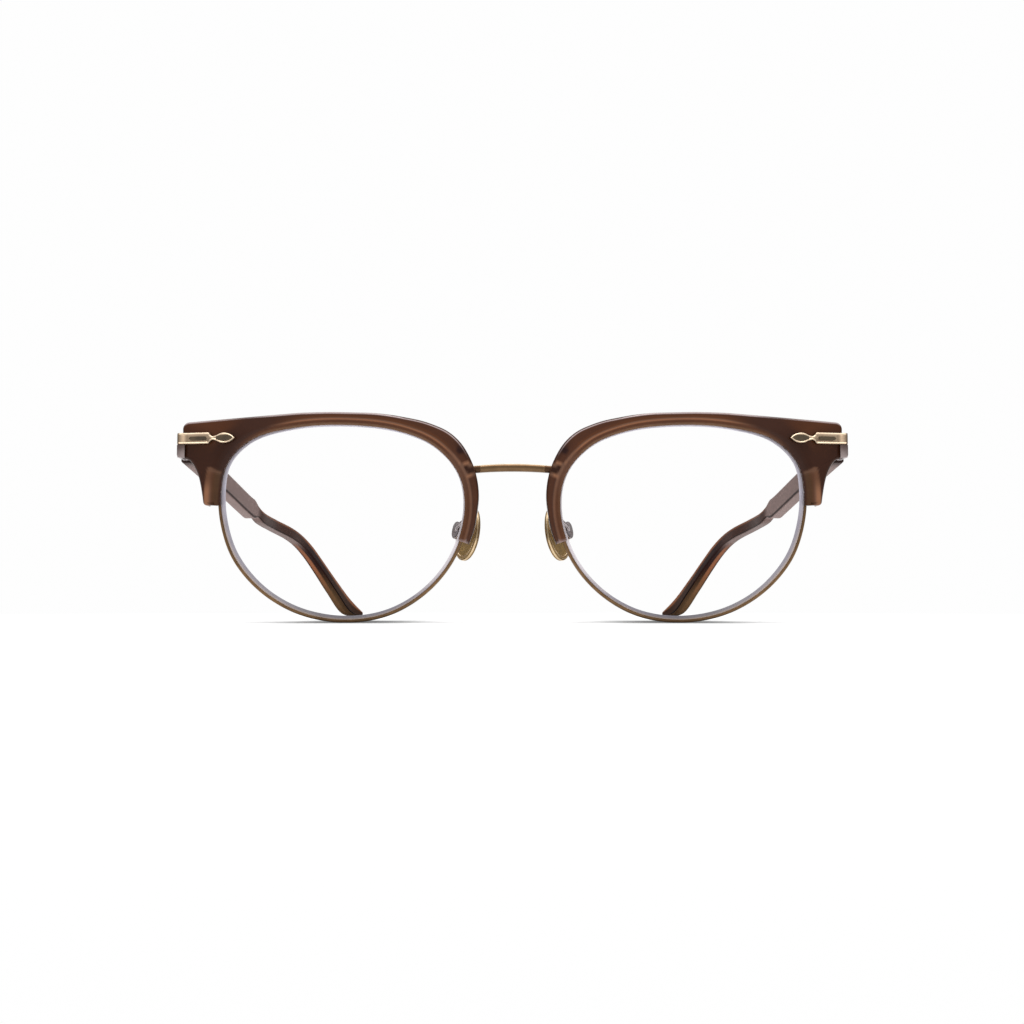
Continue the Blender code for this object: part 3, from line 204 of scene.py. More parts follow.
# Tone of the ground edge by angle round the lens: painted lighter and darker for how light falls on the
# frosted edge.
LENS_BAND_TONES = (
    (-45.0, (164, 157, 164)), (-25.0, (204, 197, 202)), (15.0, (235, 228, 232)), (60.0, (206, 200, 212)),
    (150.0, (214, 209, 220)), (164.0, (196, 192, 204)), (180.0, (147, 142, 152)), (250.0, (146, 141, 146)),
    (315.0, (150, 145, 155)),
)
# Painted highlight: a pale warm line on the edge's outer rows, towards the bottom on the temple's side.
LENS_RIM_HIGHLIGHT = (198, 180, 168)
LENS_RIM_ROWS = ((9, 0.35), (10, 1.0), (11, 0.5))
BRIDGE_SIDES = 28
BRIDGE_STEPS = 90
# Painted shade on the bridge's ends, beyond this distance from the middle.
BRIDGE_SHADED = 6.8 * MM
# Faces round each bridge section that carry a painted highlight along its top.
BRIDGE_HIGHLIGHT_FACES = (7, 8, 9)
INLAY_START, INLAY_LENGTH, INLAY_HALF = 0.35 * MM, 3.95 * MM, 0.36 * MM
INLAY_SHARES = ((0.0, 0.0), (0.05, 0.8), (0.2, 1.0), (0.9, 1.0), (1.0, 0.0))
SHARPEST_LEAN = 0.45
THREAD_PITCH = 0.25 * MM
PAD_DISH = 0.42 * MM
PAD_STEPS = 96
TEMPLE_CORNER = 0.45 * MM
TEMPLE_LEAD = 0.94

# Places that follow from the sizes
LENS_X = (LENS_GAP + LENS_WIDTH) / 2
LENS_Z = EYEWIRE_THICKNESS + LENS_HEIGHT / 2
EYEWIRE_FRONT = LIP_THICKNESS + CLEARANCE
EYEWIRE_BACK = EYEWIRE_FRONT + EYEWIRE_DEPTH
EYEWIRE_MIDDLE = EYEWIRE_FRONT + EYEWIRE_DEPTH / 2
POCKET_WIDTH = EYEWIRE_THICKNESS + CLEARANCE
BLOCK_X = LENS_X + LENS_WIDTH / 2 + BLOCK_WIDTH
BLOCK_TOP_Z = LENS_Z + LENS_HEIGHT / 2 + BLOCK_RISE
BLOCK_HEEL_Z = BLOCK_TOP_Z - BLOCK_SIDE
BRIDGE_Z = LENS_Z + BRIDGE_LEVEL
LUG_FRONT = EYEWIRE_BACK - LUG_THICKNESS
PLATE_FRONT = BROW_THICKNESS + CLEARANCE
PLATE_BACK = PLATE_FRONT + PLATE_THICKNESS
PLATE_TOP_Z = BLOCK_TOP_Z - PLATE_TOP
PLATE_LOW_Z = PLATE_TOP_Z - PLATE_HEIGHT
SIDE_X = BLOCK_X + CLEARANCE
SIDE_OUT_X = SIDE_X + SIDE_THICKNESS
PLAQUE_Z = PLATE_TOP_Z - PLAQUE_HEIGHT / 2
PLAQUE_BAR_X = SIDE_X - PLAQUE_BAR
PLAQUE_NECK_X = PLAQUE_BAR_X - PLAQUE_NECK_GAP


def wrap_depth(across):
    """How far back the front curves at a distance from its middle."""
    return across * across / (2 * WRAP_RADIUS)


TEMPLE_OUT_X = SIDE_OUT_X + TEMPLE_PROUD
TEMPLE_X = TEMPLE_OUT_X - TEMPLE_THICKNESS / 2
TEMPLE_IN_X = TEMPLE_OUT_X - TEMPLE_THICKNESS
HINGE_X = TEMPLE_IN_X - CLEARANCE - BARREL_RADIUS
HINGE_DEPTH = PLATE_BACK + wrap_depth(HINGE_X) + CLEARANCE + BARREL_RADIUS
TEMPLE_START = PLATE_BACK + wrap_depth(SIDE_OUT_X) + TEMPLE_JOINT_GAP
TEMPLE_Z = PLATE_LOW_Z + PLATE_HEIGHT / 2 - TEMPLE_SINK
HINGE_PITCH = BARREL_HEIGHT + BARREL_GAP
HALF_DEPTH = (TEMPLE_START + TEMPLE_REACH + TIP_ROUNDING) / 2


# Curves and places

def smooth_points(points, steps, closed=False):
    """Points of a smooth curve through the given ones, with the same number to each stretch."""
    points = [Vector(point) for point in points]
    count = len(points)
    found = []
    for index in range(count if closed else count - 1):
        spots = [index + shift for shift in (-1, 0, 1, 2)]
        near = [points[spot % count if closed else min(max(spot, 0), count - 1)] for spot in spots]
        gaps = [math.sqrt((near[k + 1] - near[k]).length) or math.sqrt((near[2] - near[1]).length)
                for k in range(3)]
        start_slope = ((near[1] - near[0]) / gaps[0] - (near[2] - near[0]) / (gaps[0] + gaps[1])
                       + (near[2] - near[1]) / gaps[1]) * gaps[1]
        end_slope = ((near[2] - near[1]) / gaps[1] - (near[3] - near[1]) / (gaps[1] + gaps[2])
                     + (near[3] - near[2]) / gaps[2]) * gaps[1]
        for t in (step / steps for step in range(steps)):
            found.append(near[1] * (2 * t ** 3 - 3 * t ** 2 + 1) + start_slope * (t ** 3 - 2 * t ** 2 + t)
                         + near[2] * (3 * t ** 2 - 2 * t ** 3) + end_slope * (t ** 3 - t ** 2))
    return found if closed else found + [points[-1]]


def between(low, high, share):
    return low + (high - low) * share


def turns(count, shift=0.0):
    """Evenly spaced angles all round, in radians."""
    return [2 * math.pi * (step + shift) / count for step in range(count)]


def quarter(count, first=0):
    """Evenly spaced angles over a quarter turn, in radians."""
    return [math.pi / 2 * step / count for step in range(first, count + 1)]


def squared(turn, power):
    """A point on a unit circle that a power under 1 makes squarer."""
    return [math.copysign(abs(value) ** power, value) for value in (math.cos(turn), math.sin(turn))]


def rectangle(left, low, right, high):
    return [(left, low), (right, low), (right, high), (left, high)]


def direction(line, index):
    """Which way a line of points runs at one of them."""
    return (line[min(index + 1, len(line) - 1)] - line[max(index - 1, 0)]).normalized()


def angle_of(point):
    """Angle round the lens in degrees: 0 towards the nose, 90 up, 180 towards the temple."""
    return math.degrees(math.atan2(point[1] - LENS_Z, LENS_X - point[0])) % 360


RIM_LINE = smooth_points(
    [(LENS_X + across * LENS_WIDTH / 2, LENS_Z + up * LENS_HEIGHT / 2) for across, up in RIM_SHARES],
    24, closed=True)
RIM_ARRAY = np.array([tuple(point) for point in RIM_LINE])
RIM_ANGLES = np.array([angle_of(point) for point in RIM_LINE])


def rim_point(angle, offset=0.0):
    """Point (across, height) at an angle round the lens, off the rim's edge by an offset."""
    count = len(RIM_LINE)
    index = int(np.argmax((RIM_ANGLES - angle) % 360))
    before, first, second, after = [RIM_LINE[(index + shift) % count] for shift in (-1, 0, 1, 2)]
    turn = (RIM_ANGLES[(index + 1) % count] - RIM_ANGLES[index]) % 360
    share = float(((angle - RIM_ANGLES[index]) % 360) / turn)
    run = between(second - before, after - first, share).normalized()
    outward = Vector((-run.y, run.x))
    spot = between(first, second, share)
    if outward.dot(spot - Vector((LENS_X, LENS_Z))) < 0:
        outward = -outward
    return spot + outward * offset


def outward_at(angle, reach):
    """The rim's point at an angle, and the direction straight out from it."""
    spot = rim_point(angle)
    return spot, (rim_point(angle, reach) - spot).normalized()


def laid(side, across, depth, height, wrapped=True):
    """A place of the front in the row's frame: mirrored to its side and curved round the face."""
    curve = wrap_depth(across) if wrapped else 0.0
    return Vector((side * across, depth + curve - HALF_DEPTH, height))


def corner_arc(before, corner, after, radius, count=10):
    """Points that round off a corner of an outline."""
    corner = Vector(corner)
    first = (Vector(before) - corner).normalized()
    second = (Vector(after) - corner).normalized()
    half = first.angle(second) / 2
    centre = corner + (first + second).normalized() * radius / math.sin(half)
    start = corner + first * radius / math.tan(half) - centre
    finish = corner + second * radius / math.tan(half) - centre
    turn = start.angle_signed(finish)
    return [centre + Matrix.Rotation(-turn * step / count, 2) @ start for step in range(count + 1)]


# Mesh making

class Skin:
    """A mesh put together from lofts, plates and rods, with a material slot for each face."""

    def __init__(self):
        self.shape = bmesh.new()

    def finished(self, made, slot, bevel=0.0, segments=2, profile=0.6):
        """Puts faces in a slot, points them outwards and breaks their sharp edges by a bevel."""
        for face in made:
            face.material_index = slot
        bmesh.ops.recalc_face_normals(self.shape, faces=made)
        if bevel:
            edges = {edge for face in made for edge in face.edges if edge.calc_face_angle(0) > SHARP_TURN}
            bmesh.ops.bevel(self.shape, geom=list(edges), offset=bevel, segments=segments, profile=profile,
                            affect="EDGES", clamp_overlap=True, material=slot)
        return self

    def loft(self, sections, closed=False, slot=0):
        """A skin through rings, with a face over each end unless it closes on itself."""
        rings = [[self.shape.verts.new(point) for point in section] for section in sections]
        made = []
        for near, far in zip(rings, rings[1:] + (rings[:1] if closed else [])):
            for index in range(len(near)):
                follow = (index + 1) % len(near)
                made.append(self.shape.faces.new((near[index], near[follow], far[follow], far[index])))
        if not closed:
            made += [self.shape.faces.new(ring) for ring in (rings[0][::-1], rings[-1])]
        return self.finished(made, slot)

    def prism(self, side, outline, front, back, bevel=0.0, wrapped=True, slot=0):
        """A plate from an outline of (across, height) points, with its edges broken by a bevel."""
        before, behind = [[self.shape.verts.new(laid(side, x, depth, z, wrapped)) for x, z in outline]
                          for depth in (front, back)]
        made = [self.shape.faces.new(before), self.shape.faces.new(behind[::-1])]
        for index in range(len(outline)):
            follow = (index + 1) % len(outline)
            made.append(self.shape.faces.new((before[follow], before[index], behind[index], behind[follow])))
        return self.finished(made, slot, bevel)

    def block(self, centre, axes, sizes, bevel=0.0):
        """A box with rounded edges, from its middle, its three directions and its sizes along them."""
        turn = Matrix(axes).transposed().to_4x4()
        place = Matrix.Translation(centre) @ turn @ Matrix.Diagonal((*sizes, 1.0))
        made = bmesh.ops.create_cube(self.shape, size=1.0, matrix=place)
        faces = {face for vert in made["verts"] for face in vert.link_faces}
        return self.finished(list(faces), 0, bevel, segments=3, profile=0.5)

    def turned(self, base, run, profile, count):
        """A turned piece: (distance along the run, radius) rows about an axis from a base point."""
        run = run.normalized()
        to_run = run.to_track_quat("Z", "X").to_matrix()
        circle = [Vector((math.cos(turn), math.sin(turn), 0.0)) for turn in turns(count)]
        return self.loft([[base + run * along + to_run @ spot * radius for spot in circle]
                          for along, radius in profile])

    def put(self, numbers, slot):
        """Moves numbered faces to a material slot."""
        self.shape.faces.ensure_lookup_table()
        for number in numbers:
            self.shape.faces[number].material_index = slot

    def mesh(self):
        made = bpy.data.meshes.new("fine")
        self.shape.to_mesh(made)
        self.shape.free()
        return made


def smooth(mesh, angle):
    """Shades a mesh smooth, with sharp edges where it turns by more than an angle in degrees."""
    mesh.shade_smooth()
    mesh.set_sharp_from_angle(angle=math.radians(angle))


def piece(node, mesh, looks, body="front", angle=35):
    """The fine piece that stands for a CAD node and rides on its body."""
    made = bpy.data.objects.new(f"fine_{node}", mesh)
    mesh.name = made.name
    bpy.context.scene.collection.objects.link(made)
    for look in looks:
        mesh.materials.append(LOOKS[look])
    smooth(mesh, angle)
    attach(made, body)
    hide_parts(node)
    return made


def cut(target, cutters, angle):
    """Cuts meshes from a piece and keeps the result in its mesh."""
    tools = []
    for number, mesh in enumerate(cutters):
        tool = bpy.data.objects.new(f"cutter_{number}", mesh)
        bpy.context.scene.collection.objects.link(tool)
        step = target.modifiers.new(tool.name, "BOOLEAN")
        step.operation = "DIFFERENCE"
        step.solver = "EXACT"
        step.object = tool
        tools.append(tool)
    ready = target.evaluated_get(bpy.context.evaluated_depsgraph_get())
    mesh = bpy.data.meshes.new_from_object(ready)
    target.modifiers.clear()
    target.data = mesh
    for tool in tools:
        bpy.data.objects.remove(tool, do_unlink=True)
    smooth(mesh, angle)


# Tones

def linear(colour):
    """Linear values of a colour given in 0 to 255."""
    return tuple(((c / 255 + 0.055) / 1.055) ** 2.4 if c > 10 else c / 255 / 12.92 for c in colour)


SHEEN_LIFT = 0.009


def under_gloss(colour):
    """Tone to paint so that the colour shows under the acetate's faint gloss."""
    return tuple(max(value - SHEEN_LIFT, 0.0025) for value in linear(colour))


DEEP = under_gloss((52, 34, 28))
BODY = under_gloss((64, 43, 36))
WARM = under_gloss((85, 53, 37))
RUST = under_gloss((104, 77, 63))
LIP = under_gloss((112, 84, 64))
# Painted bright line of light at the pocket wall, seen through the lip.
LINE = under_gloss((142, 96, 70))
# Warm amber tone; at the tail it is painted glow of light through the thin acetate.
AMBER = under_gloss((146, 102, 76))
# Painted highlight: light caught on the acetate's rounded edges.
PAINTED_SHEEN = under_gloss((184, 167, 166))
OLIVE = under_gloss((96, 75, 54))
CORE_SHADE = under_gloss((40, 24, 15))
# Painted reflection: grey-purple sheen where the temple's faces catch the white surroundings at a grazing
# angle.
PLUM_REFLECTION = under_gloss((118, 98, 94))
# Painted shade: dark lines along the temple's lower inner edge and over its front end.
PLUM_SHADE = under_gloss((44, 33, 31))
# Painted reflection of the pale floor on the temple's underside.
LILAC_FLOOR_REFLECTION = under_gloss((136, 116, 112))
UMBER = under_gloss((74, 50, 42))
# Painted glow: warm light through the acetate's rounded edges.
RUSSET_GLOW = under_gloss((142, 92, 66))


class Tones:
    """A tone for each place, which colours are mixed into one after another."""

    def __init__(self, colour, count):
        self.values = np.array([colour] * count)

    def mix(self, colour, amount):
        self.values += (np.array(colour) - self.values) * np.reshape(amount, (-1, 1))


def band(values, centre, half, soft):
    """1 within half a width of a centre, fading to 0 over a soft edge."""
    return np.clip((half + soft - np.abs(values - centre)) / soft, 0, 1)


def ramp(values, low, high):
    """A smooth rise from 0 at low to 1 at high."""
    share = np.clip((values - low) / (high - low), 0, 1)
    return share * share * (3 - 2 * share)


def write_tint(mesh, tones):
    """Writes a tone for each vertex, which the materials read as the tint."""
    values = np.ones((len(mesh.vertices), 4), dtype=np.float32)
    values[:, :3] = tones
    layer = mesh.color_attributes.new("tint", "FLOAT_COLOR", "POINT")
    layer.data.foreach_set("color", values.ravel())


# Materials

PLAIN = (1.0, 1.0, 1.0)
NOISE_MIDDLE = (0.3, 0.7)
GRAIN = 3600.0
# Painted shade on the flange: darker towards its top, under the plaque.
FLANGE_SHADE = (
    (0.0, (0.9, 0.86, 0.86)), (0.45, (0.8, 0.74, 0.72)), (0.75, (0.5, 0.42, 0.4)), (1.0, (0.42, 0.34, 0.32)),
)
# Painted highlight and shade across the bar's end, where it turns round the corner, as a multiplier on the
# field's tone.
FIELD_SHADE = tuple((spot, (tone,) * 3) for spot, tone in (
    (0.0, 0.5), (0.1, 0.42), (0.25, 0.6), (0.42, 0.98), (0.6, 0.78), (0.75, 0.5), (0.9, 0.22), (1.0, 0.5)))
FIELD_SHADE_LENGTH = 2.6 * MM


def new_material(name):
    made = bpy.data.materials.new(name)
    made.use_nodes = True
    tree = made.node_tree
    return made, tree, tree.nodes["Principled BSDF"]


def feed(tree, node, inputs):
    """Feeds inputs by number or name: a socket is linked, and any other value is set."""
    for key, value in inputs.items():
        if isinstance(value, bpy.types.NodeSocket):
            tree.links.new(value, node.inputs[key])
        else:
            node.inputs[key].default_value = value


def add_node(tree, kind, inputs=None, **settings):
    made = tree.nodes.new(kind)
    for key, value in settings.items():
        setattr(made, key, value)
    feed(tree, made, inputs or {})
    return made


def maths(tree, operation, *values):
    return add_node(tree, "ShaderNodeMath", dict(enumerate(values)), operation=operation).outputs["Value"]


def vectors(tree, operation, inputs, result="Vector"):
    return add_node(tree, "ShaderNodeVectorMath", inputs, operation=operation).outputs[result]


def axes_of(tree, coordinates):
    """Sockets of the three coordinates of a place, and of the place itself."""
    place = add_node(tree, "ShaderNodeTexCoord").outputs[coordinates]
    return add_node(tree, "ShaderNodeSeparateXYZ", {"Vector": place}).outputs, place


def ranged(tree, value, start, finish, low=0.0, high=1.0, kind="LINEAR"):
    """A value taken from one range to another, and held at its ends."""
    inputs = {"Value": value, "From Min": start, "From Max": finish, "To Min": low, "To Max": high}
    return add_node(tree, "ShaderNodeMapRange", inputs, interpolation_type=kind).outputs["Result"]


def toned(tree, value, stops, kind="LINEAR"):
    """Colour at a value on a ramp through (place, tone) stops."""
    made = add_node(tree, "ShaderNodeValToRGB", {"Fac": value})
    made.color_ramp.interpolation = kind
    while len(made.color_ramp.elements) < len(stops):
        made.color_ramp.elements.new(1.0)
    for element, (spot, tone) in zip(made.color_ramp.elements, stops):
        element.position = spot
        element.color = (*tone, 1.0)
    return made.outputs["Color"]


def streaks(tree, scale, stretch=PLAIN):
    """Noise in the piece's own coordinates, stretched along one direction."""
    place = add_node(tree, "ShaderNodeTexCoord").outputs["Object"]
    spread = add_node(tree, "ShaderNodeMapping", {"Vector": place, "Scale": stretch}).outputs["Vector"]
    inputs = {"Vector": spread, "Scale": scale, "Detail": 4.0, "Roughness": 0.55}
    return add_node(tree, "ShaderNodeTexNoise", inputs).outputs["Fac"]


def tinted(tree, scale, stretch, low, high):
    """The piece's painted tint, with soft streaks in it."""
    tint = add_node(tree, "ShaderNodeAttribute", attribute_name="tint").outputs["Color"]
    gain = ranged(tree, streaks(tree, scale, stretch), *NOISE_MIDDLE, low, high)
    return vectors(tree, "SCALE", {0: tint, "Scale": gain})


def acetate(name, stretch, roughness, gloss):
    """Polished acetate: a painted tint with soft streaks in it, under a faint gloss."""
    made, tree, shader = new_material(name)
    fine = ranged(tree, streaks(tree, 420.0), *NOISE_MIDDLE, roughness * 0.92, roughness * 1.1)
    feed(tree, shader, {"Base Color": tinted(tree, 260.0, stretch, 0.92, 1.08), "Roughness": fine,
                        "IOR": 1.48, "Specular IOR Level": gloss})
    return made


def metal(name, colour, dark, roughness, metallic=1.0, shade=None):
    """Plated metal with a slightly uneven tone and a fine grain in its sheen.

    The shade, if there is one, is painted light and shade that multiplies the tone along an axis: the axis,
    its two ends and the stops.
    """
    made, tree, shader = new_material(name)
    mix = add_node(tree, "ShaderNodeMix", data_type="RGBA")
    feed(tree, mix, {"Factor": ranged(tree, streaks(tree, 420.0), *NOISE_MIDDLE)})
    pair = [socket for socket in mix.inputs if socket.type == "RGBA"]
    for socket, tone in zip(pair, (dark, colour)):
        socket.default_value = (*linear(tone), 1.0)
    result = [socket for socket in mix.outputs if socket.type == "RGBA"][0]
    if shade:
        axis, start, finish, stops = shade
        span = maths(tree, "ABSOLUTE", axes_of(tree, "Object")[0][axis])
        shaded = toned(tree, ranged(tree, span, start, finish), stops)
        result = vectors(tree, "MULTIPLY", {0: result, 1: shaded})
    grain = streaks(tree, GRAIN)
    bump = add_node(tree, "ShaderNodeBump", {"Strength": 0.04, "Distance": 0.01 * MM, "Height": grain})
    feed(tree, shader, {"Base Color": result, "Normal": bump.outputs["Normal"], "Metallic": metallic,
                        "Roughness": ranged(tree, grain, *NOISE_MIDDLE, roughness * 0.9, roughness * 1.15)})
    return made


def show_mix(tree, share, first, second):
    """Shows two shaders mixed, the second one by a share."""
    mix = add_node(tree, "ShaderNodeMixShader", {0: share, 1: first.outputs[0], 2: second.outputs[0]})
    feed(tree, tree.nodes["Material Output"], {"Surface": mix.outputs[0]})


def clear_glass(name):
    """Thin clear lens with an anti-glare coat: nearly all goes through, with a faint gloss."""
    made, tree, shader = new_material(name)
    feed(tree, shader, {"Base Color": (0.6, 0.66, 0.78, 1.0), "Roughness": 0.02, "IOR": 1.5})
    facing = add_node(tree, "ShaderNodeLayerWeight", {"Blend": 0.5}).outputs["Facing"]
    glint = maths(tree, "MULTIPLY", maths(tree, "POWER", facing, 3.5), 0.3)
    show_mix(tree, glint, add_node(tree, "ShaderNodeBsdfTransparent"), shader)
    return made


def ground_edge(name):
    """The lens's ground edge: frosted, pale and a little lilac."""
    made, tree, shader = new_material(name)
    feed(tree, shader, {"Base Color": tinted(tree, 300.0, PLAIN, 0.93, 1.07), "Roughness": 0.42, "IOR": 1.45})
    return made


METALS = (
    ("antique_gold", (124, 97, 70), (106, 82, 58), 0.3),
    ("bridge_gold", (120, 95, 70), (102, 80, 58), 0.2),
    # Painted highlight for the strip along the bridge's top.
    ("bridge_shine", (228, 219, 198), (212, 202, 180), 0.3, 0.0),
    # Painted shade for the bridge's ends.
    ("bridge_end", (84, 61, 44), (70, 50, 36), 0.3),
    ("pale_gold", (212, 191, 165), (194, 173, 147), 0.26),
    ("pad_gold", (226, 202, 166), (208, 182, 146), 0.24),
    ("pad_wall", (158, 130, 88), (138, 112, 74), 0.3),
    ("pad_face", (150, 119, 66), (128, 101, 56), 0.5, 0.2),
    ("plaque_recess", (88, 73, 53), (66, 55, 41), 0.5, 0.4),
    ("plaque_field", (232, 203, 172), (222, 193, 162), 0.36, 1.0,
     ("X", SIDE_OUT_X - FIELD_SHADE_LENGTH, SIDE_OUT_X, FIELD_SHADE)),
    ("flange_metal", (176, 165, 163), (160, 149, 147), 0.34, 1.0,
     ("Z", PLATE_LOW_Z, PLAQUE_Z - PLAQUE_HEIGHT / 2, FLANGE_SHADE)),
    ("grey_metal", (184, 175, 175), (164, 155, 155), 0.3),
    # Painted shade for the edges of the pad's box.
    ("grey_edge", (86, 80, 80), (72, 66, 66), 0.4),
    ("screw_steel", (150, 145, 140), (120, 115, 110), 0.32),
)
LOOKS = {row[0]: metal(*row) for row in METALS}
LOOKS["brown_acetate"] = acetate("brown_acetate", (0.35, 1.0, 1.2), 0.16, 0.17)
LOOKS["temple_acetate"] = acetate("temple_acetate", (1.2, 0.3, 1.2), 0.34, 0.025)
LOOKS["clear_lens"] = clear_glass("clear_lens")
LOOKS["lens_edge"] = ground_edge("lens_edge")


# The brow

def brow_outline():
    """Outer outline of the brow from the nose, over the top and down the tail."""
    stretch = 40
    low, high = BROW_WIDTH_SHARES[0][0], BROW_WIDTH_SHARES[-1][0]
    widths = smooth_points([(angle, share * stretch) for angle, share in BROW_WIDTH_SHARES], 8)
    angles = [row.x for row in widths]
    shares = [row.y / stretch for row in widths]
    crown = []
    for step in range(BROW_STEPS + 1):
        angle = between(low, high, step / BROW_STEPS)
        crown.append(rim_point(angle, BROW_WIDTH * float(np.interp(angle, angles, shares))))
    top_corner = Vector((BLOCK_X, BLOCK_TOP_Z))
    heel = Vector((BLOCK_X - BLOCK_TAPER, BLOCK_HEEL_Z))
    tail_in = rim_point(TAIL_ANGLE)
    tail_corner = Vector((tail_in.x + TAIL_WIDTH, LENS_Z + TAIL_HEIGHT))
    shoulder = [Vector((between(heel.x, tail_corner.x, share_in), between(heel.y, tail_corner.y, share_down)))
                for share_in, share_down in SHOULDER_SHARES]
    line = crown + [between(crown[-1], top_corner, step / 30) for step in range(1, 28)]
    line += corner_arc(crown[-1], top_corner, heel, BLOCK_CORNER, 12)
    side_start = line[-1]
    arc = corner_arc(top_corner, heel, shoulder[0], BLOCK_HEEL, 8)
    line += [between(side_start, arc[0], step / 10) for step in range(1, 10)] + arc
    line += smooth_points([arc[-1]] + shoulder, 6)[1:]
    line += corner_arc(shoulder[-1], tail_corner, tail_in, TAIL_CORNER, 10)
    last = line[-1]
    return line + [between(last, tail_in + Vector((POCKET_WIDTH, 0.0)), step / 6) for step in range(1, 6)]


def brow_mesh(side):
    """Fine skin of the brow: chamfered lip, front face, rounded edges, back, pocket wall."""
    line = brow_outline()
    sections = []
    angle = BROW_WIDTH_SHARES[0][0]
    edge = BROW_EDGE
    for index, outer in enumerate(line):
        own_angle = (angle_of(outer) + 180) % 360 - 180
        angle = min(max(angle, own_angle), TAIL_ANGLE) if index else angle
        rim, normal = outward_at(angle, POCKET_WIDTH)
        inner = rim + normal * LIP_BACK * min(max((angle - LIP_BACK_START) / LIP_BACK_SPAN, 0.0), 1.0)
        run = direction(line, index)
        out = Vector((-run.y, run.x))
        near = inner + normal * LIP_CHAMFER
        far = outer - out * edge
        profile = [(inner + normal * (LIP_CHAMFER * share), LIP_EDGE * (1 - share) ** 1.15)
                   for share in (0.0, 0.06, 0.25, 0.5, 0.75)]
        profile += [(between(near, far, step / 9), 0.0) for step in range(10)]
        profile += [(far + out * edge * math.sin(turn), edge * (1 - math.cos(turn)))
                    for turn in quarter(8, 1)]
        profile += [(between(far, outer, math.cos(turn)), BROW_THICKNESS - edge + edge * math.sin(turn))
                    for turn in quarter(4)]
        pocket = rim + normal * POCKET_WIDTH
        profile += [(between(far, pocket, share), BROW_THICKNESS) for share in (0.33, 0.66, 0.97)]
        profile += [(pocket, BROW_THICKNESS - 0.12 * MM), (pocket, LIP_THICKNESS), (inner, LIP_THICKNESS)]
        sections.append([laid(side, spot.x, depth, spot.y) for spot, depth in profile])
    return Skin().loft(sections).mesh()


def lug_axes():
    """Where the eyewire's lug starts, which way it reaches and which way it is broad."""
    root_spot, out = outward_at(LUG_ANGLE, LUG_REACH)
    return root_spot, out, Vector((-out.y, out.x))


def strip(start, end, low, high):
    """Outline of a strip from one place to another, between its two edges."""
    return [start + low, end + low, end + high, start + high]


def brow_cutters(side):
    """Slot for the bridge, and recesses for the lug and the closing block."""
    back = BROW_THICKNESS + 1.0 * MM
    nose_x = rim_point(0.0).x
    hole = rectangle(nose_x - BROW_WIDTH * 2, BRIDGE_Z - BRIDGE_SLOT / 2,
                     nose_x + BROW_WIDTH, BRIDGE_Z + BRIDGE_SLOT / 2)
    slot = Skin().prism(side, hole, EYEWIRE_FRONT - CLEARANCE, back)
    root_spot, out, along = lug_axes()
    half = along * (LUG_WIDTH / 2 + CLEARANCE)
    near, far = root_spot + out * EYEWIRE_THICKNESS, root_spot + out * (LUG_REACH + CLEARANCE)
    lug = Skin().prism(side, strip(near, far, -half, half), LUG_FRONT - CLEARANCE, back)
    reach = max(TAIL_WIDTH - CLOSING_RECESS_WALL, POCKET_WIDTH)
    sections = []
    for step in range(9):
        inner = rim_point(between(CLOSING_RECESS_ANGLE, CLOSING_RECESS_END_ANGLE, step / 8))
        sections.append([laid(side, *spot, inner.y)
                         for spot in rectangle(inner.x, LIP_THICKNESS, inner.x + reach, back)])
    return slot.mesh(), lug.mesh(), Skin().loft(sections).mesh()


NOSE_END = BROW_WIDTH_SHARES[0][0]
SCREW_SHADE = Vector((11.0, 36.2)) * MM


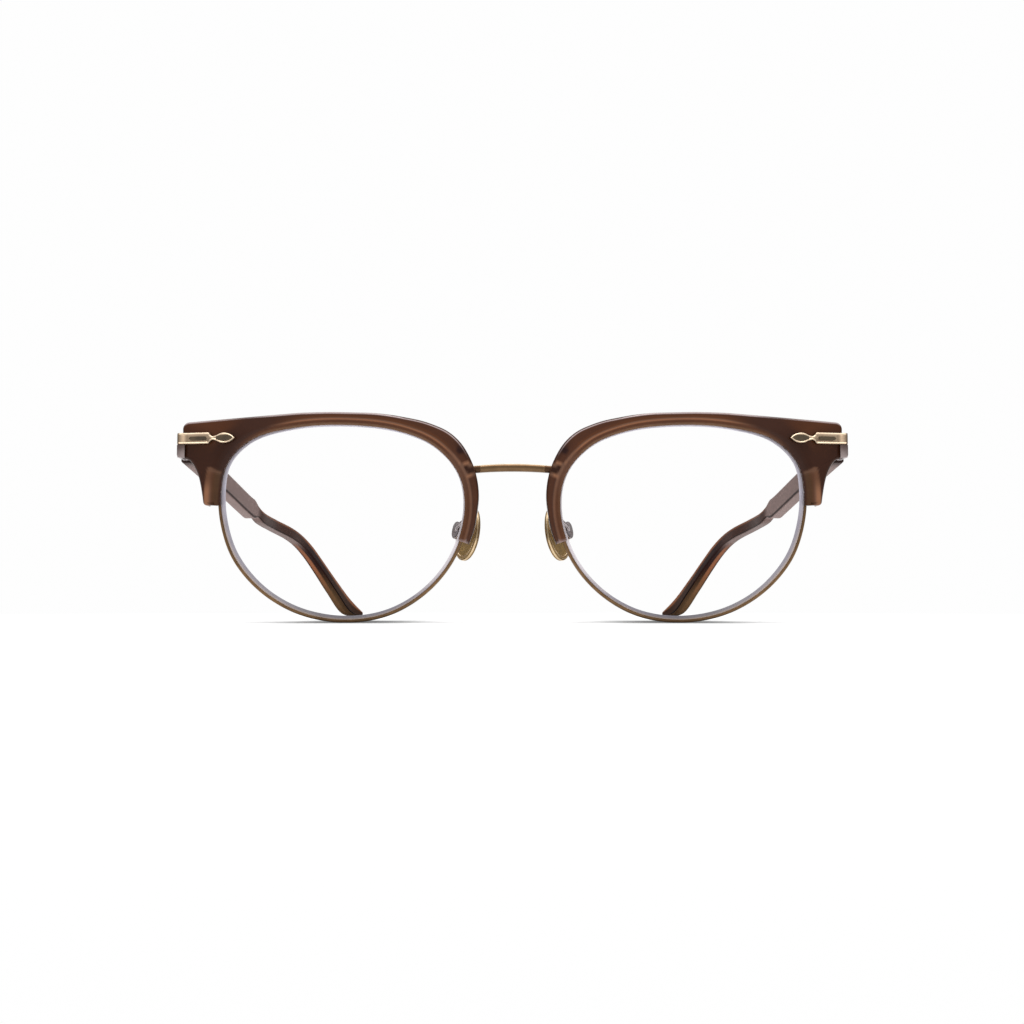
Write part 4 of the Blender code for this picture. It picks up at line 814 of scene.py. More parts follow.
def brow_tint(mesh):
    """Tone of the brow at each vertex, painted by its angle round the lens in degrees and, in
    millimetres, its distance off the rim, its depth and its level: paler where the acetate is thin."""
    places = np.empty(len(mesh.vertices) * 3)
    mesh.vertices.foreach_get("co", places)
    across, depth, height = places.reshape(-1, 3).T
    across = np.abs(across)
    deep = (depth + HALF_DEPTH - wrap_depth(across)) / MM
    level = height / MM
    gap = np.linalg.norm(np.stack([across, height], axis=1)[:, None, :] - RIM_ARRAY[None, :, :], axis=2)
    near = gap.argmin(axis=1)
    off = gap[np.arange(len(near)), near] / MM
    angle = (RIM_ANGLES[near] + 180) % 360 - 180
    angle = np.where(angle < -90, 180.0, angle)
    tones = Tones(BODY, len(across))
    mix = tones.mix

    # Crown over the lens, nose part beside it and block at the temple
    crown = ramp(angle, 29, 36) * (1 - ramp(angle, 112, 132))
    nose = 1 - ramp(angle, 29, 36)
    block = ramp(angle, 132, 150)
    mix(WARM, crown * (1 - ramp(off, 1.9, 2.3) * 0.5))
    mix(RUST, crown * band(off, 1.42, 0.08, 0.14) * 0.9)
    mix(WARM, nose * ramp(off, 1.55, 1.95) * 0.45)
    mix(DEEP, nose * ramp(off, 2.4, 3.4) * 0.6)
    mix(RUST, nose * (1 - ramp(off, 1.5, 1.8)) * (0.55 + 0.4 * ramp(angle, 12, 26)))
    mix(DEEP, block * (0.5 + 0.35 * band(off, 1.6, 0.5, 0.8)))
    mix(WARM, block * (1 - ramp(angle, 146, 156)) * ramp(off, 3.5, 5.5) * 0.9)

    # Thin lip over the wire, paler where the acetate is thin, with a painted bright line of light along the
    # pocket wall and a painted highlight on the nose end
    inner = 1 - ramp(angle, 128, 150)
    mix(WARM, inner * (1 - ramp(off, 0.9, 1.1)) * (1 - nose * 0.4))
    mix(LIP, inner * (1 - ramp(off, 0.25, 0.6)) * (1 - nose * 0.75))
    # Painted bright line where light catches the pocket wall.
    mix(LINE, crown * band(off, 1.16, 0.09, 0.13) * 0.95)
    mix(LINE, nose * band(off, 1.3, 0.12, 0.16) * 0.22)
    # Painted highlight along the lower edge of the nose end.
    mix(PAINTED_SHEEN, (1 - ramp(angle, NOSE_END + 0.1, NOSE_END + 1.5)) * band(off, 1.4, 1.4, 0.3) * 0.45)

    # What shows through: the bridge's slot and the screw
    slot_level = BRIDGE_Z / MM
    slot = band(level, slot_level, 1.45, 0.15) * (1 - ramp(angle, 34, 38)) * ramp(off, 1.1, 1.3)
    mix(RUST, slot * 0.9)
    mix(AMBER, slot * (1 - band(level, slot_level, 1.0, 0.2)) * 0.6)
    mix(DEEP, slot * band(level, slot_level, 0.65, 0.2) * ramp(off, 1.5, 1.8) * (1 - ramp(off, 3.2, 3.5)))
    spot = np.hypot(across - SCREW_SHADE.x, height - SCREW_SHADE.y) / MM
    mix(CORE_SHADE, (1 - ramp(spot, 0.45, 1.15)) * 0.9)

    # Painted highlight along the rounded outer edge, with a painted dark line of shade behind it
    far = ramp(angle, 56, 72)
    edge = band(deep, 0.055 + 0.115 * far, 0.03 + 0.07 * far, 0.02 + 0.04 * far)
    bright = ramp(angle, 24, 36) * (1 - ramp(angle, 126, 138)) * (1 - 0.3 * ramp(angle, 66, 84))
    mix(PAINTED_SHEEN, edge * ramp(off, 1.5, 1.7) * bright)
    mix(PAINTED_SHEEN, edge * block * ramp(level, 42.0, 42.8) * 0.6)
    # Painted shade: a dark line on the rounded edge beyond the painted highlight.
    behind = ramp(deep, 0.1 + 0.2 * far, 0.16 + 0.24 * far) * (1 - ramp(deep, 0.9, 1.3))
    mix(DEEP, behind * ramp(off, 1.5, 1.7) * 0.75)

    # Tail, where the metal behind it shows through, with a painted warm glow of light through the thin
    # acetate towards its outer lower part
    tail = ramp(angle, 156.6, 157.6) * (1 - ramp(deep, 3.0, 3.6))
    patch = tail * ramp(off, 0.3, 0.8) * (1 - ramp(off, 3.4, 3.9))
    low = 1 - ramp(level, 27.0, 31.0)
    mix(WARM, patch * (0.25 + 0.35 * ramp(off, 1.2, 2.2)))
    mix(OLIVE, patch * (1 - ramp(off, 1.6, 2.4)) * 0.3)
    # Painted glow: warm light through the thin acetate, stronger low down and towards the outer edge.
    mix(RUST, patch * ramp(off, 1.7, 2.5) * (0.3 + 0.45 * low))
    mix(AMBER, patch * ramp(off, 2.2, 3.0) * (0.15 + 0.6 * low))
    mix(RUST, patch * band(angle, 157.8, 0.5, 0.5) * 0.5)
    return tones.values


def make_brow(side):
    made = piece(f"brow_{SIDE_NAMES[side]}", brow_mesh(side), ["brown_acetate"])
    cut(made, brow_cutters(side), 40)
    write_tint(made.data, brow_tint(made.data))


# The eyewire and what is soldered to it

def closing_frame():
    """Where the closing block starts, which way it reaches and which way is down along it."""
    spot, out = outward_at(CLOSING_ANGLE, CLOSING_REACH)
    return spot, out, Vector((out.y, -out.x))


def make_eyewire(side):
    """A rounded wire with a groove on its inner side, the brow's lug and the split closing block."""
    half = EYEWIRE_DEPTH / 2
    corner = EYEWIRE_THICKNESS - EYEWIRE_ROUNDING
    profile = [(0.2 * MM, -half + 0.1 * MM)]
    profile += [(offset * MM, depth * MM) for offset, depth in EYEWIRE_GROOVE]
    profile += [(0.02 * MM, half - 0.12 * MM), (0.14 * MM, half)]
    profile += [(corner + EYEWIRE_ROUNDING * math.sin(turn), half - EYEWIRE_ROUNDING * (1 - math.cos(turn)))
                for turn in quarter(4)]
    profile += [(corner + EYEWIRE_ROUNDING * math.cos(turn), -half + EYEWIRE_ROUNDING * (1 - math.sin(turn)))
                for turn in quarter(4)]
    profile.append((0.28 * MM, -half))
    half_slit = math.degrees(EYEWIRE_SLIT / LENS_WIDTH)
    sections = []
    for step in range(EYEWIRE_STEPS + 1):
        base, out = outward_at(CLOSING_ANGLE + half_slit + (360 - 2 * half_slit) * step / EYEWIRE_STEPS,
                               EYEWIRE_THICKNESS)
        spots = [(base + out * offset, depth) for offset, depth in profile]
        sections.append([laid(side, spot.x, EYEWIRE_MIDDLE + depth, spot.y) for spot, depth in spots])
    skin = Skin().loft(sections)
    inside = EYEWIRE_THICKNESS - 0.2 * MM
    root_spot, out, along = lug_axes()
    edge = along * LUG_WIDTH / 2
    lug = strip(root_spot + out * inside, root_spot + out * LUG_REACH, -edge, edge)
    skin.prism(side, lug, LUG_FRONT, EYEWIRE_BACK, bevel=0.15 * MM)
    spot, out, down = closing_frame()
    for low, high in ((-CLOSING_HEIGHT / 2, -EYEWIRE_SLIT / 2), (EYEWIRE_SLIT / 2, CLOSING_HEIGHT / 2)):
        block = strip(spot + out * inside, spot + out * CLOSING_REACH, down * low, down * high)
        skin.prism(side, block, EYEWIRE_FRONT, EYEWIRE_BACK, bevel=0.18 * MM)
    piece(f"eyewire_{SIDE_NAMES[side]}", skin.mesh(), ["antique_gold"])


def make_lens(side):
    """Domed lens with a ground chamfer on its front edge and a bevel in the groove."""
    half = LENS_THICKNESS / 2
    rows = [(share, 1.0, 0.0, -half) for share in LENS_FACE_RINGS] + [(1.0, 1.0, -0.12 * MM, -half)]
    rows += [(1.0, 1 - step / 4, LENS_EDGE_REACH * step / 4, None) for step in range(5)]
    rows += [(1.0, 0.0, 0.2 * MM, 0.0), (1.0, 0.0, -0.05 * MM, 0.6 * MM), (1.0, 0.0, -0.1 * MM, half)]
    rows += [(share, 1.0, 0.0, half) for share in reversed(LENS_FACE_RINGS)]
    angles = [360 * step / LENS_STEPS for step in range(LENS_STEPS)]
    own = np.array([angle if angle <= 315 else angle - 360 for angle in angles])
    spots, widths = zip(*LENS_BAND_ROWS)
    bands = (np.interp(own, spots, widths) * MM).tolist()
    edges = [rim_point(angle) for angle in angles]
    outs = [(rim_point(angle, MM) - spot) / MM for angle, spot in zip(angles, edges)]
    rings = []
    for share, band_share, offset, rise in rows:
        ring = []
        dome = -LENS_DOME * (1 - share * share)
        for spot, out, width in zip(edges, outs, bands):
            place = spot + out * (offset - width * band_share)
            drop = between(0.015 * MM, min(LENS_BAND_DEPTH, width * 0.6), 1 - band_share)
            deep = drop - half if rise is None else rise
            ring.append(laid(side, between(LENS_X, place.x, share), EYEWIRE_MIDDLE + deep + dome,
                             between(LENS_Z, place.y, share)))
        rings.append(ring)
    skin = Skin().loft(rings)
    skin.put([row * LENS_STEPS + index for row in LENS_GROUND_ROWS for index in range(LENS_STEPS)], 1)
    mesh = skin.mesh()
    spots, tones = zip(*LENS_BAND_TONES)
    tones = np.array([linear(tone) for tone in tones])
    plain = np.stack([np.interp(own, spots, tones[:, channel]) for channel in range(3)], axis=1)
    # Painted highlight on the edge's outer rows, from the temple's side round the bottom.
    lit = np.clip((own - 168) / 20, 0, 1)[:, None]
    values = np.array([plain] * len(rows))
    for row, share in LENS_RIM_ROWS:
        values[row] += (np.array(linear(LENS_RIM_HIGHLIGHT)) - plain) * lit * share
    write_tint(mesh, values.reshape(-1, 3))
    piece(f"lens_{SIDE_NAMES[side]}", mesh, ["clear_lens", "lens_edge"], angle=20)


def nasal_x(height, offset):
    """Where a line off the rim's edge by an offset stands at a height, on the nose's side."""
    low, high = 0.0, 60.0
    for _ in range(16):
        middle = (low + high) / 2
        if rim_point(middle, offset).y < height:
            low = middle
        else:
            high = middle
    return rim_point(low, offset).x


def make_bridge():
    """Arched bar with rounded edges, flatter in front, whose ends meet the eyewires."""
    ends = {}
    sections = []
    for step in range(BRIDGE_STEPS + 1):
        share = 2 * step / BRIDGE_STEPS - 1
        arch = 1 - share * share
        half = between(BRIDGE_END_HEIGHT, BRIDGE_HEIGHT, arch) / 2
        section = []
        for turn in turns(BRIDGE_SIDES, 0.5):
            back, up = squared(turn, 0.8)
            key = round(half * up / MM, 2)
            if key not in ends:
                ends[key] = nasal_x(BRIDGE_Z + half * up, EYEWIRE_THICKNESS + CLEARANCE)
            section.append(laid(1, ends[key] * share, EYEWIRE_MIDDLE + BRIDGE_DEPTH / 2 * back,
                                BRIDGE_Z + BRIDGE_RISE * arch + half * up))
        sections.append(section)
    skin = Skin().loft(sections)
    for index, face in enumerate(skin.shape.faces):
        # Painted shade: the bar's ends by the brows take a dark finish.
        face.material_index = int(abs(face.calc_center_median().x) > BRIDGE_SHADED)
        # Painted highlight: a strip of faces along the bar's top takes a pale finish.
        if index < BRIDGE_STEPS * BRIDGE_SIDES and index % BRIDGE_SIDES in BRIDGE_HIGHLIGHT_FACES:
            face.material_index = 2
    piece("bridge", skin.mesh(), ["bridge_gold", "bridge_end", "bridge_shine"])


# The plaque

def offset_line(points, distance):
    """A closed outline moved inwards by a distance, with the same number of points."""
    count = len(points)
    area = sum(points[i - 1].x * points[i].y - points[i].x * points[i - 1].y for i in range(count))
    sign = 1 if area > 0 else -1
    moved = []
    for index, here in enumerate(points):
        first = (here - points[index - 1]).normalized()
        second = (points[(index + 1) % count] - here).normalized()
        aside = Vector((-first.y, first.x)) * sign
        inward = Vector((-(first + second).y, (first + second).x)) * sign
        inward = (inward if inward.length > 1e-9 else aside).normalized()
        moved.append(here + inward * distance / max(inward.dot(aside), SHARPEST_LEAN))
    return moved


def leaf_outline(steps=8):
    """Upper half of the spear-shaped end, from the neck to the point."""
    points = [(0.0, PLAQUE_NECK / PLAQUE_LEAF_HEIGHT)] + list(LEAF_SHARES)
    return [(PLAQUE_NECK_X - spot.x * PLAQUE_LEAF_LENGTH, spot.y * PLAQUE_LEAF_HEIGHT / 2)
            for spot in smooth_points(points, steps)]


def mirrored(upper):
    """Closed outline from its upper half, mirrored about the plaque's middle."""
    lower = [(x, -z) for x, z in reversed(upper) if z > 1e-7]
    return [Vector((x, PLAQUE_Z + z)) for x, z in upper + lower]


def stepped(side, outline, rows):
    """Rings of an outline at (inset, depth) rows."""
    return [[laid(side, spot.x, depth, spot.y) for spot in offset_line(outline, inset)]
            for inset, depth in rows]


def make_plaque(side):
    """Bar with a raised border and a spear-shaped end, turned round the corner to the side."""
    front = -CLEARANCE - PLAQUE_THICKNESS
    half = PLAQUE_HEIGHT / 2
    upper = [(SIDE_OUT_X - 0.02 * MM, half - 0.4 * MM), (SIDE_OUT_X - 0.1 * MM, half - 0.16 * MM),
             (SIDE_OUT_X - 0.3 * MM, half - 0.02 * MM)]
    upper += [(between(SIDE_OUT_X, PLAQUE_BAR_X, step / 12), half) for step in range(1, 12)]
    turn_in = [(PLAQUE_BAR_X, half), (PLAQUE_BAR_X - 0.25 * MM, half * 0.88),
               (PLAQUE_NECK_X + 0.42 * MM, half * 0.52),
               (PLAQUE_NECK_X + 0.12 * MM, PLAQUE_NECK / 2 + 0.03 * MM)]
    upper += [tuple(point) for point in smooth_points(turn_in, 4)] + leaf_outline()[1:]
    outline = mirrored(upper)
    count = len(outline)
    levels = ((0.0, -CLEARANCE), (0.0, front + 0.34 * MM), (0.06 * MM, front + 0.16 * MM),
              (0.16 * MM, front + 0.03 * MM), (0.24 * MM, front), (0.33 * MM, front + 0.03 * MM),
              (0.42 * MM, front + 0.12 * MM), (0.47 * MM, front + 0.14 * MM))
    skin = Skin().loft(stepped(side, outline, levels))
    # The field, its edges and the end turned round the corner take the finish with the painted highlight and
    # shade.
    for row in (0, 6):
        skin.put(range(row * count, (row + 1) * count), 2)
    for face in skin.shape.faces:
        if len(face.verts) == count or abs(face.calc_center_median().x) > SIDE_OUT_X - 0.5 * MM:
            face.material_index = 2
    skin.prism(side, rectangle(SIDE_X, PLAQUE_Z - half, SIDE_OUT_X, PLAQUE_Z + half), front + 0.3 * MM,
               PLAQUE_SIDE - CLEARANCE, bevel=0.16 * MM, slot=2)
    inlay = [(PLAQUE_BAR_X + INLAY_START + INLAY_LENGTH * along, INLAY_HALF * up)
             for along, up in INLAY_SHARES]
    leaf = [(x, z / 2) for x, z in leaf_outline(4)[4:-4]]
    for shape, sunk, rounding, bottom in ((inlay, 0.0, 0.1, 0.03), (leaf, 0.01, 0.12, 0.04)):
        rows = ((0.0, front + 0.1 * MM), (0.0, front + sunk * MM), (rounding * MM, front + bottom * MM))
        skin.loft(stepped(side, mirrored(shape), rows), slot=1)
    looks = ["pale_gold", "plaque_recess", "plaque_field"]
    piece(f"plaque_{SIDE_NAMES[side]}", skin.mesh(), looks)


# End piece, hinge and screws

def barrel(skin, side, low, left, right, front, back):
    """A hinge barrel with broken edges and a hole along it, and the link that joins it to its leaf."""
    bore = HINGE_SCREW_RADIUS + CLEARANCE * 0.6
    edge = 0.12 * MM
    rows = ((edge * 0.3, bore), (0.0, bore + edge * 0.3), (0.0, BARREL_RADIUS - edge), (edge, BARREL_RADIUS),
            (BARREL_HEIGHT - edge, BARREL_RADIUS), (BARREL_HEIGHT, BARREL_RADIUS - edge),
            (BARREL_HEIGHT, bore + edge * 0.3), (BARREL_HEIGHT - edge * 0.3, bore))
    base = laid(side, HINGE_X, HINGE_DEPTH, low, False)
    rings = [[base + Vector((math.cos(turn) * radius, math.sin(turn) * radius, along)) for turn in turns(48)]
             for along, radius in rows]
    skin.loft(rings, closed=True)
    skin.prism(side, rectangle(left, low + 0.05 * MM, right, low + BARREL_HEIGHT - 0.05 * MM), front, back,
               wrapped=False)


def make_endpiece(side):
    """Plate behind the block, the walls beside it, the flange in front and the two outer barrels."""
    inner_x = BLOCK_X - PLATE_REACH
    heel_x = BLOCK_X - BLOCK_TAPER - BLOCK_HEEL
    outline = [(inner_x, PLATE_TOP_Z), (SIDE_OUT_X, PLATE_TOP_Z), (SIDE_OUT_X, PLATE_LOW_Z),
               (heel_x, PLATE_LOW_Z), (heel_x - PLATE_DROP, PLATE_LOW_Z - PLATE_DROP),
               (inner_x, PLATE_LOW_Z - PLATE_DROP)]
    skin = Skin().prism(side, outline, PLATE_FRONT, PLATE_BACK, bevel=0.12 * MM)
    low_top = PLAQUE_Z - PLAQUE_HEIGHT / 2 - CLEARANCE * 0.2
    flange_x = SIDE_OUT_X - FLANGE_WIDTH
    heel = corner_arc((flange_x, PLATE_LOW_Z), (SIDE_OUT_X, PLATE_LOW_Z), (SIDE_OUT_X, low_top), 0.7 * MM, 6)
    flange = [(flange_x, PLATE_LOW_Z)] + heel + [(SIDE_OUT_X, low_top), (flange_x, low_top)]
    # The flange takes the finish with the painted shade.
    skin.prism(side, flange, -CLEARANCE - FLANGE_THICKNESS, -CLEARANCE, bevel=0.05 * MM, slot=1)
    step = 0.03 * MM
    wall_back = PLATE_FRONT + 0.2 * MM
    low_wall = rectangle(SIDE_X, PLATE_LOW_Z + step, SIDE_OUT_X - step / 2, low_top - step)
    skin.prism(side, low_wall, -CLEARANCE - FLANGE_THICKNESS / 2, wall_back, bevel=0.15 * MM)
    high_wall = rectangle(SIDE_X + step, PLATE_LOW_Z + 0.2 * MM, SIDE_OUT_X - step, PLATE_TOP_Z - step)
    skin.prism(side, high_wall, PLAQUE_SIDE, wall_back, bevel=0.1 * MM)
    for level in (-1, 1):
        low = TEMPLE_Z + level * HINGE_PITCH - BARREL_HEIGHT / 2
        barrel(skin, side, low, HINGE_X - HINGE_LINK / 2, HINGE_X + HINGE_LINK / 2,
               HINGE_DEPTH - BARREL_RADIUS - CLEARANCE - 0.2 * MM, HINGE_DEPTH - 0.7 * MM)
    piece(f"endpiece_{SIDE_NAMES[side]}", skin.mesh(), ["grey_metal", "flange_metal"])


def screw(node, base, run, tip, radius, head_radius, head_height, slotted=True):
    """A screw: its threaded shank to the tip, its head outside the base and the driver's slot."""
    run = run.normalized()
    profile = [(tip, radius * 0.7), (tip - 0.12 * MM, radius)]
    for step in range(max(int((tip - 0.3 * MM) / THREAD_PITCH), 0), 0, -1):
        profile += [((step + 0.25) * THREAD_PITCH, radius), ((step - 0.2) * THREAD_PITCH, radius - 0.06 * MM)]
    profile += [(0.0, radius), (0.0, head_radius - 0.05 * MM), (-0.08 * MM, head_radius),
                (-head_height + 0.2 * MM, head_radius), (-head_height + 0.08 * MM, head_radius * 0.93),
                (-head_height, head_radius * 0.8), (-head_height - 0.02 * MM, head_radius * 0.3)]
    made = piece(node, Skin().turned(base, run, profile, 36).mesh(), ["screw_steel"])
    if slotted:
        across = run.orthogonal().normalized()
        sizes = (head_radius * 3, head_radius * 0.34, head_height * 0.9)
        slot = Skin().block(base - run * head_height, (across, run.cross(across).normalized(), run), sizes)
        cut(made, [slot.mesh()], 35)


def make_screws(side):
    name = SIDE_NAMES[side]
    ahead = Vector((0.0, -1.0, 0.0))
    small = (SCREW_RADIUS, SCREW_HEAD_RADIUS, SCREW_HEAD_HEIGHT)
    tip_depth = LUG_FRONT - 1.3 * MM
    root_spot, out, _ = lug_axes()
    lug_hole = root_spot + out * LUG_HOLE_OFFSET
    plate_hole = Vector((BLOCK_X - PLATE_REACH + PLATE_SCREW_INSET, PLATE_LOW_Z + PLATE_HEIGHT / 2))
    for kind, spot, surface in (("brow", lug_hole, EYEWIRE_BACK), ("endpiece", plate_hole, PLATE_BACK)):
        seat = surface + CLEARANCE * 0.2
        screw(f"{kind}_screw_{name}", laid(side, spot.x, seat, spot.y), ahead, seat - tip_depth, *small)
    spot, out, down = closing_frame()
    middle = spot + out * (EYEWIRE_THICKNESS + CLOSING_REACH) / 2
    top, bottom = [laid(side, end.x, EYEWIRE_MIDDLE, end.y)
                   for end in (middle - down * CLOSING_HEIGHT / 2, middle + down * (CLOSING_HEIGHT / 2))]
    screw(f"closing_screw_{name}", bottom, top - bottom, (top - bottom).length, SCREW_RADIUS - CLEARANCE,
          CLOSING_HEAD_RADIUS, SCREW_HEAD_HEIGHT)
    half = HINGE_PITCH + BARREL_HEIGHT / 2
    screw(f"hinge_screw_{name}", laid(side, HINGE_X, HINGE_DEPTH, TEMPLE_Z + half + 0.03 * MM, False),
          Vector((0.0, 0.0, -1.0)), half * 2, HINGE_SCREW_RADIUS, SCREW_HEAD_RADIUS, SCREW_HEAD_HEIGHT)
    back, _, nose = pad_axes(side)
    middle = pad_centre(side) - nose * (PAD_THICKNESS + BOX_GAP + (BOX_DEPTH - BOX_WALL) / 2)
    screw(f"pad_screw_{name}", middle - back * (BOX_WIDTH / 2 + 0.04 * MM), back, BOX_WIDTH, PAD_SCREW_RADIUS,
          PAD_SCREW_HEAD, PAD_SCREW_HEAD / 2, slotted=False)


# Nose pads

BOX_WIDTH = LUG_BLADE + CLEARANCE * 2 + BOX_WALL * 2


def pad_axes(side):
    """A pad's directions: along its width to the back, up, and out of its face to the nose."""
    splay = math.radians(PAD_SPLAY)
    tilt = math.radians(PAD_TILT)
    back = Vector((math.sin(splay) * side, math.cos(splay), 0.0))
    lean = Vector((-math.sin(tilt) * side, 0.0, math.cos(tilt)))
    up = (lean - back * lean.dot(back)).normalized()
    nose = back.cross(up) * side
    return back, up, -nose if nose.x * side > 0 else nose


def pad_centre(side):
    return Vector((PAD_CENTRE_ACROSS * side, PAD_CENTRE_DEPTH - HALF_DEPTH, LENS_Z - PAD_DROP))


def make_nose_pad(side):
    """Metal pad: raised polished edge round a shallow dish, crowned towards the nose."""
    back, up, nose = pad_axes(side)
    centre = pad_centre(side)
    half = PAD_THICKNESS / 2
    floor = -half + PAD_DISH
    rows = [(0.06, floor, 1), (0.5, floor, 1), (0.8, floor, 1), (0.825, -half + PAD_DISH * 0.5, 1),
            (0.84, -half + 0.05 * MM, 0), (0.85, -half, 0), (0.875, -half, 0), (0.885, -half + 0.1 * MM, 1),
            (0.915, -half + 0.1 * MM, 0), (0.925, -half, 0), (0.95, -half, 2), (0.97, -half + 0.05 * MM, 2),
            (0.99, -half + 0.18 * MM, 0), (1.0, 0.0, 2), (0.985, half - 0.12 * MM, 0), (0.95, half, 0),
            (0.8, half + 0.14 * MM, 0), (0.6, half + 0.26 * MM, 0), (0.35, half + 0.33 * MM, 0),
            (0.06, half + 0.35 * MM, 0)]
    egg = [back * math.cos(turn) * PAD_HALF_WIDTH * (1 - PAD_EGG_SHARE * math.sin(turn))
           + up * math.sin(turn) * PAD_HALF_HEIGHT for turn in turns(PAD_STEPS)]
    skin = Skin().loft([[centre + spot * share + nose * rise for spot in egg] for share, rise, _ in rows])
    for row, (_, _, slot) in enumerate(rows[:-1]):
        skin.put(range(row * PAD_STEPS, (row + 1) * PAD_STEPS), slot)
    skin.put([len(skin.shape.faces) - 2], 1)
    start = floor + 0.2 * MM
    reach = PAD_THICKNESS + BOX_GAP + BOX_DEPTH - BOX_WALL - CLEARANCE + floor - 0.2 * MM
    skin.block(centre + nose * (start - reach / 2), (back, up, nose), (LUG_BLADE, LUG_BLADE_HEIGHT, reach),
               bevel=0.2 * MM)
    name = SIDE_NAMES[side]
    piece(f"nose_pad_{name}", skin.mesh(), ["pad_gold", "pad_face", "pad_wall"], f"{name}_pad")


def add_disc(skin, centre, axes, sizes, power, rim_slot=0):
    """A rounded plate with broken edges: its outline in the first two axes, its thickness in the third."""
    before = len(skin.shape.faces)
    count = 48
    edge = min(0.16 * MM, sizes[2] * 0.3)
    half = 0.5 - edge / sizes[2]
    broken = 0.5 - edge * 0.3 / sizes[2]
    outline = [squared(turn, 2 / power) for turn in turns(count)]
    rings = []
    for inset, rise in ((edge, -0.5), (edge * 0.3, -broken), (0.0, -half), (0.0, half), (edge * 0.3, broken),
                        (edge, 0.5)):
        rings.append([centre + axes[0] * first * (sizes[0] / 2 - inset)
                      + axes[1] * second * (sizes[1] / 2 - inset)
                      + axes[2] * rise * sizes[2] for first, second in outline])
    skin.loft(rings)
    skin.put([before + index for index in range(5 * count) if index // count != 2], rim_slot)


def make_pad_arm(side):
    """Bent wire from the eyewire, flattened where it meets the box, and the box itself."""
    back, up, nose = pad_axes(side)
    centre = pad_centre(side)
    front_face = PAD_THICKNESS + BOX_GAP
    foot = rim_point(ARM_START_ANGLE, EYEWIRE_THICKNESS / 2)
    start = laid(side, foot.x, EYEWIRE_BACK + CLEARANCE * 0.2, foot.y)
    box_back = centre - nose * (front_face + BOX_DEPTH - BOX_WALL / 2)
    out = Vector((side * ARM_BULGE, 0.0, 0.0))
    rise = Vector((0.0, 0.0, ARM_START_RISE))
    deep = Vector((0.0, ARM_START_RISE, 0.0))
    line = smooth_points([
        start, start + deep * 0.45 + out * 0.1, start + deep * 0.85 + out * 0.25 - rise * 0.1,
        between(start, box_back, 0.62) + out * 0.2 + deep * 0.3,
        between(start, box_back, 0.84) + out * 0.12 + deep * 0.15, box_back,
    ], 10)
    rings = []
    for index, place in enumerate(line):
        run = direction(line, index)
        flat_way = (up - run * up.dot(run)).normalized()
        third = run.cross(flat_way)
        share = index / (len(line) - 1)
        swell = 1 + 0.35 * max(0.0, 1 - share / 0.07)
        flattened = max(0.0, share - 0.6) / 0.4
        broad, thin = [ARM_RADIUS * swell * between(1.0, end, flattened) for end in (1.35, 0.75)]
        rings.append([place + flat_way * math.cos(turn) * broad + third * math.sin(turn) * thin
                      for turn in turns(20)])
    skin = Skin().loft(rings)
    middle = centre - nose * (front_face + BOX_DEPTH / 2)
    base = middle - nose * (BOX_DEPTH - BOX_WALL) / 2
    # Painted shade: the box's broken edges take a darker finish, as a dark outline round it.
    add_disc(skin, base, (back, up, nose), (BOX_WIDTH, BOX_HEIGHT, BOX_WALL), 2.2, rim_slot=1)
    for way in (-1, 1):
        add_disc(skin, middle + back * way * (BOX_WIDTH - BOX_WALL) / 2, (nose, up, back),
                 (BOX_DEPTH, BOX_HEIGHT, BOX_WALL), 2.6)
    piece(f"pad_arm_{SIDE_NAMES[side]}", skin.mesh(), ["grey_metal", "grey_edge"])


# Temples

def temple_stations(side):
    """Places along the temple's middle, with its height and thickness at each."""
    rows = [(TEMPLE_X - TEMPLE_INSET * inward, TEMPLE_START + TEMPLE_REACH * back,
             TEMPLE_Z - TEMPLE_DROP * down, TEMPLE_HEIGHT * tall, TEMPLE_THICKNESS * thick)
            for back, inward, down, tall, thick in TEMPLE_PATH_SHARES]
    return [(laid(side, *row[:3], False), row[3], row[4]) for row in smooth_points(rows, 12)]


def station_axes(side, places, index):
    """Directions at a station: outward, along the temple and upward."""
    run = direction(places, index) if index else Vector((0.0, 1.0, 0.0))
    outward = Vector((side, 0.0, 0.0))
    outward = (outward - run * outward.dot(run)).normalized()
    return outward, run, (outward.cross(run) * side).normalized()


def temple_profile(tall, thick, corner):
    """Rounded rectangle as (outward, upward) points, from the outer face over the top."""
    points = []
    out_corner, up_corner = thick / 2 - corner, tall / 2 - corner
    for number, (out_way, up_way) in enumerate(((1, 1), (-1, 1), (-1, -1), (1, -1))):
        for step in range(5):
            turn = math.pi / 2 * (number + step / 4)
            points.append((out_way * out_corner + corner * math.cos(turn),
                           up_way * up_corner + corner * math.sin(turn)))
        for share in (0.08, 0.2, 0.35, 0.5, 0.65, 0.8, 0.92):
            if number % 2 == 0:
                points.append((between(out_corner, -out_corner, share) * out_way, up_way * tall / 2))
            else:
                points.append((thick / 2 * out_way, between(up_corner, -up_corner, share) * up_way))
    return points


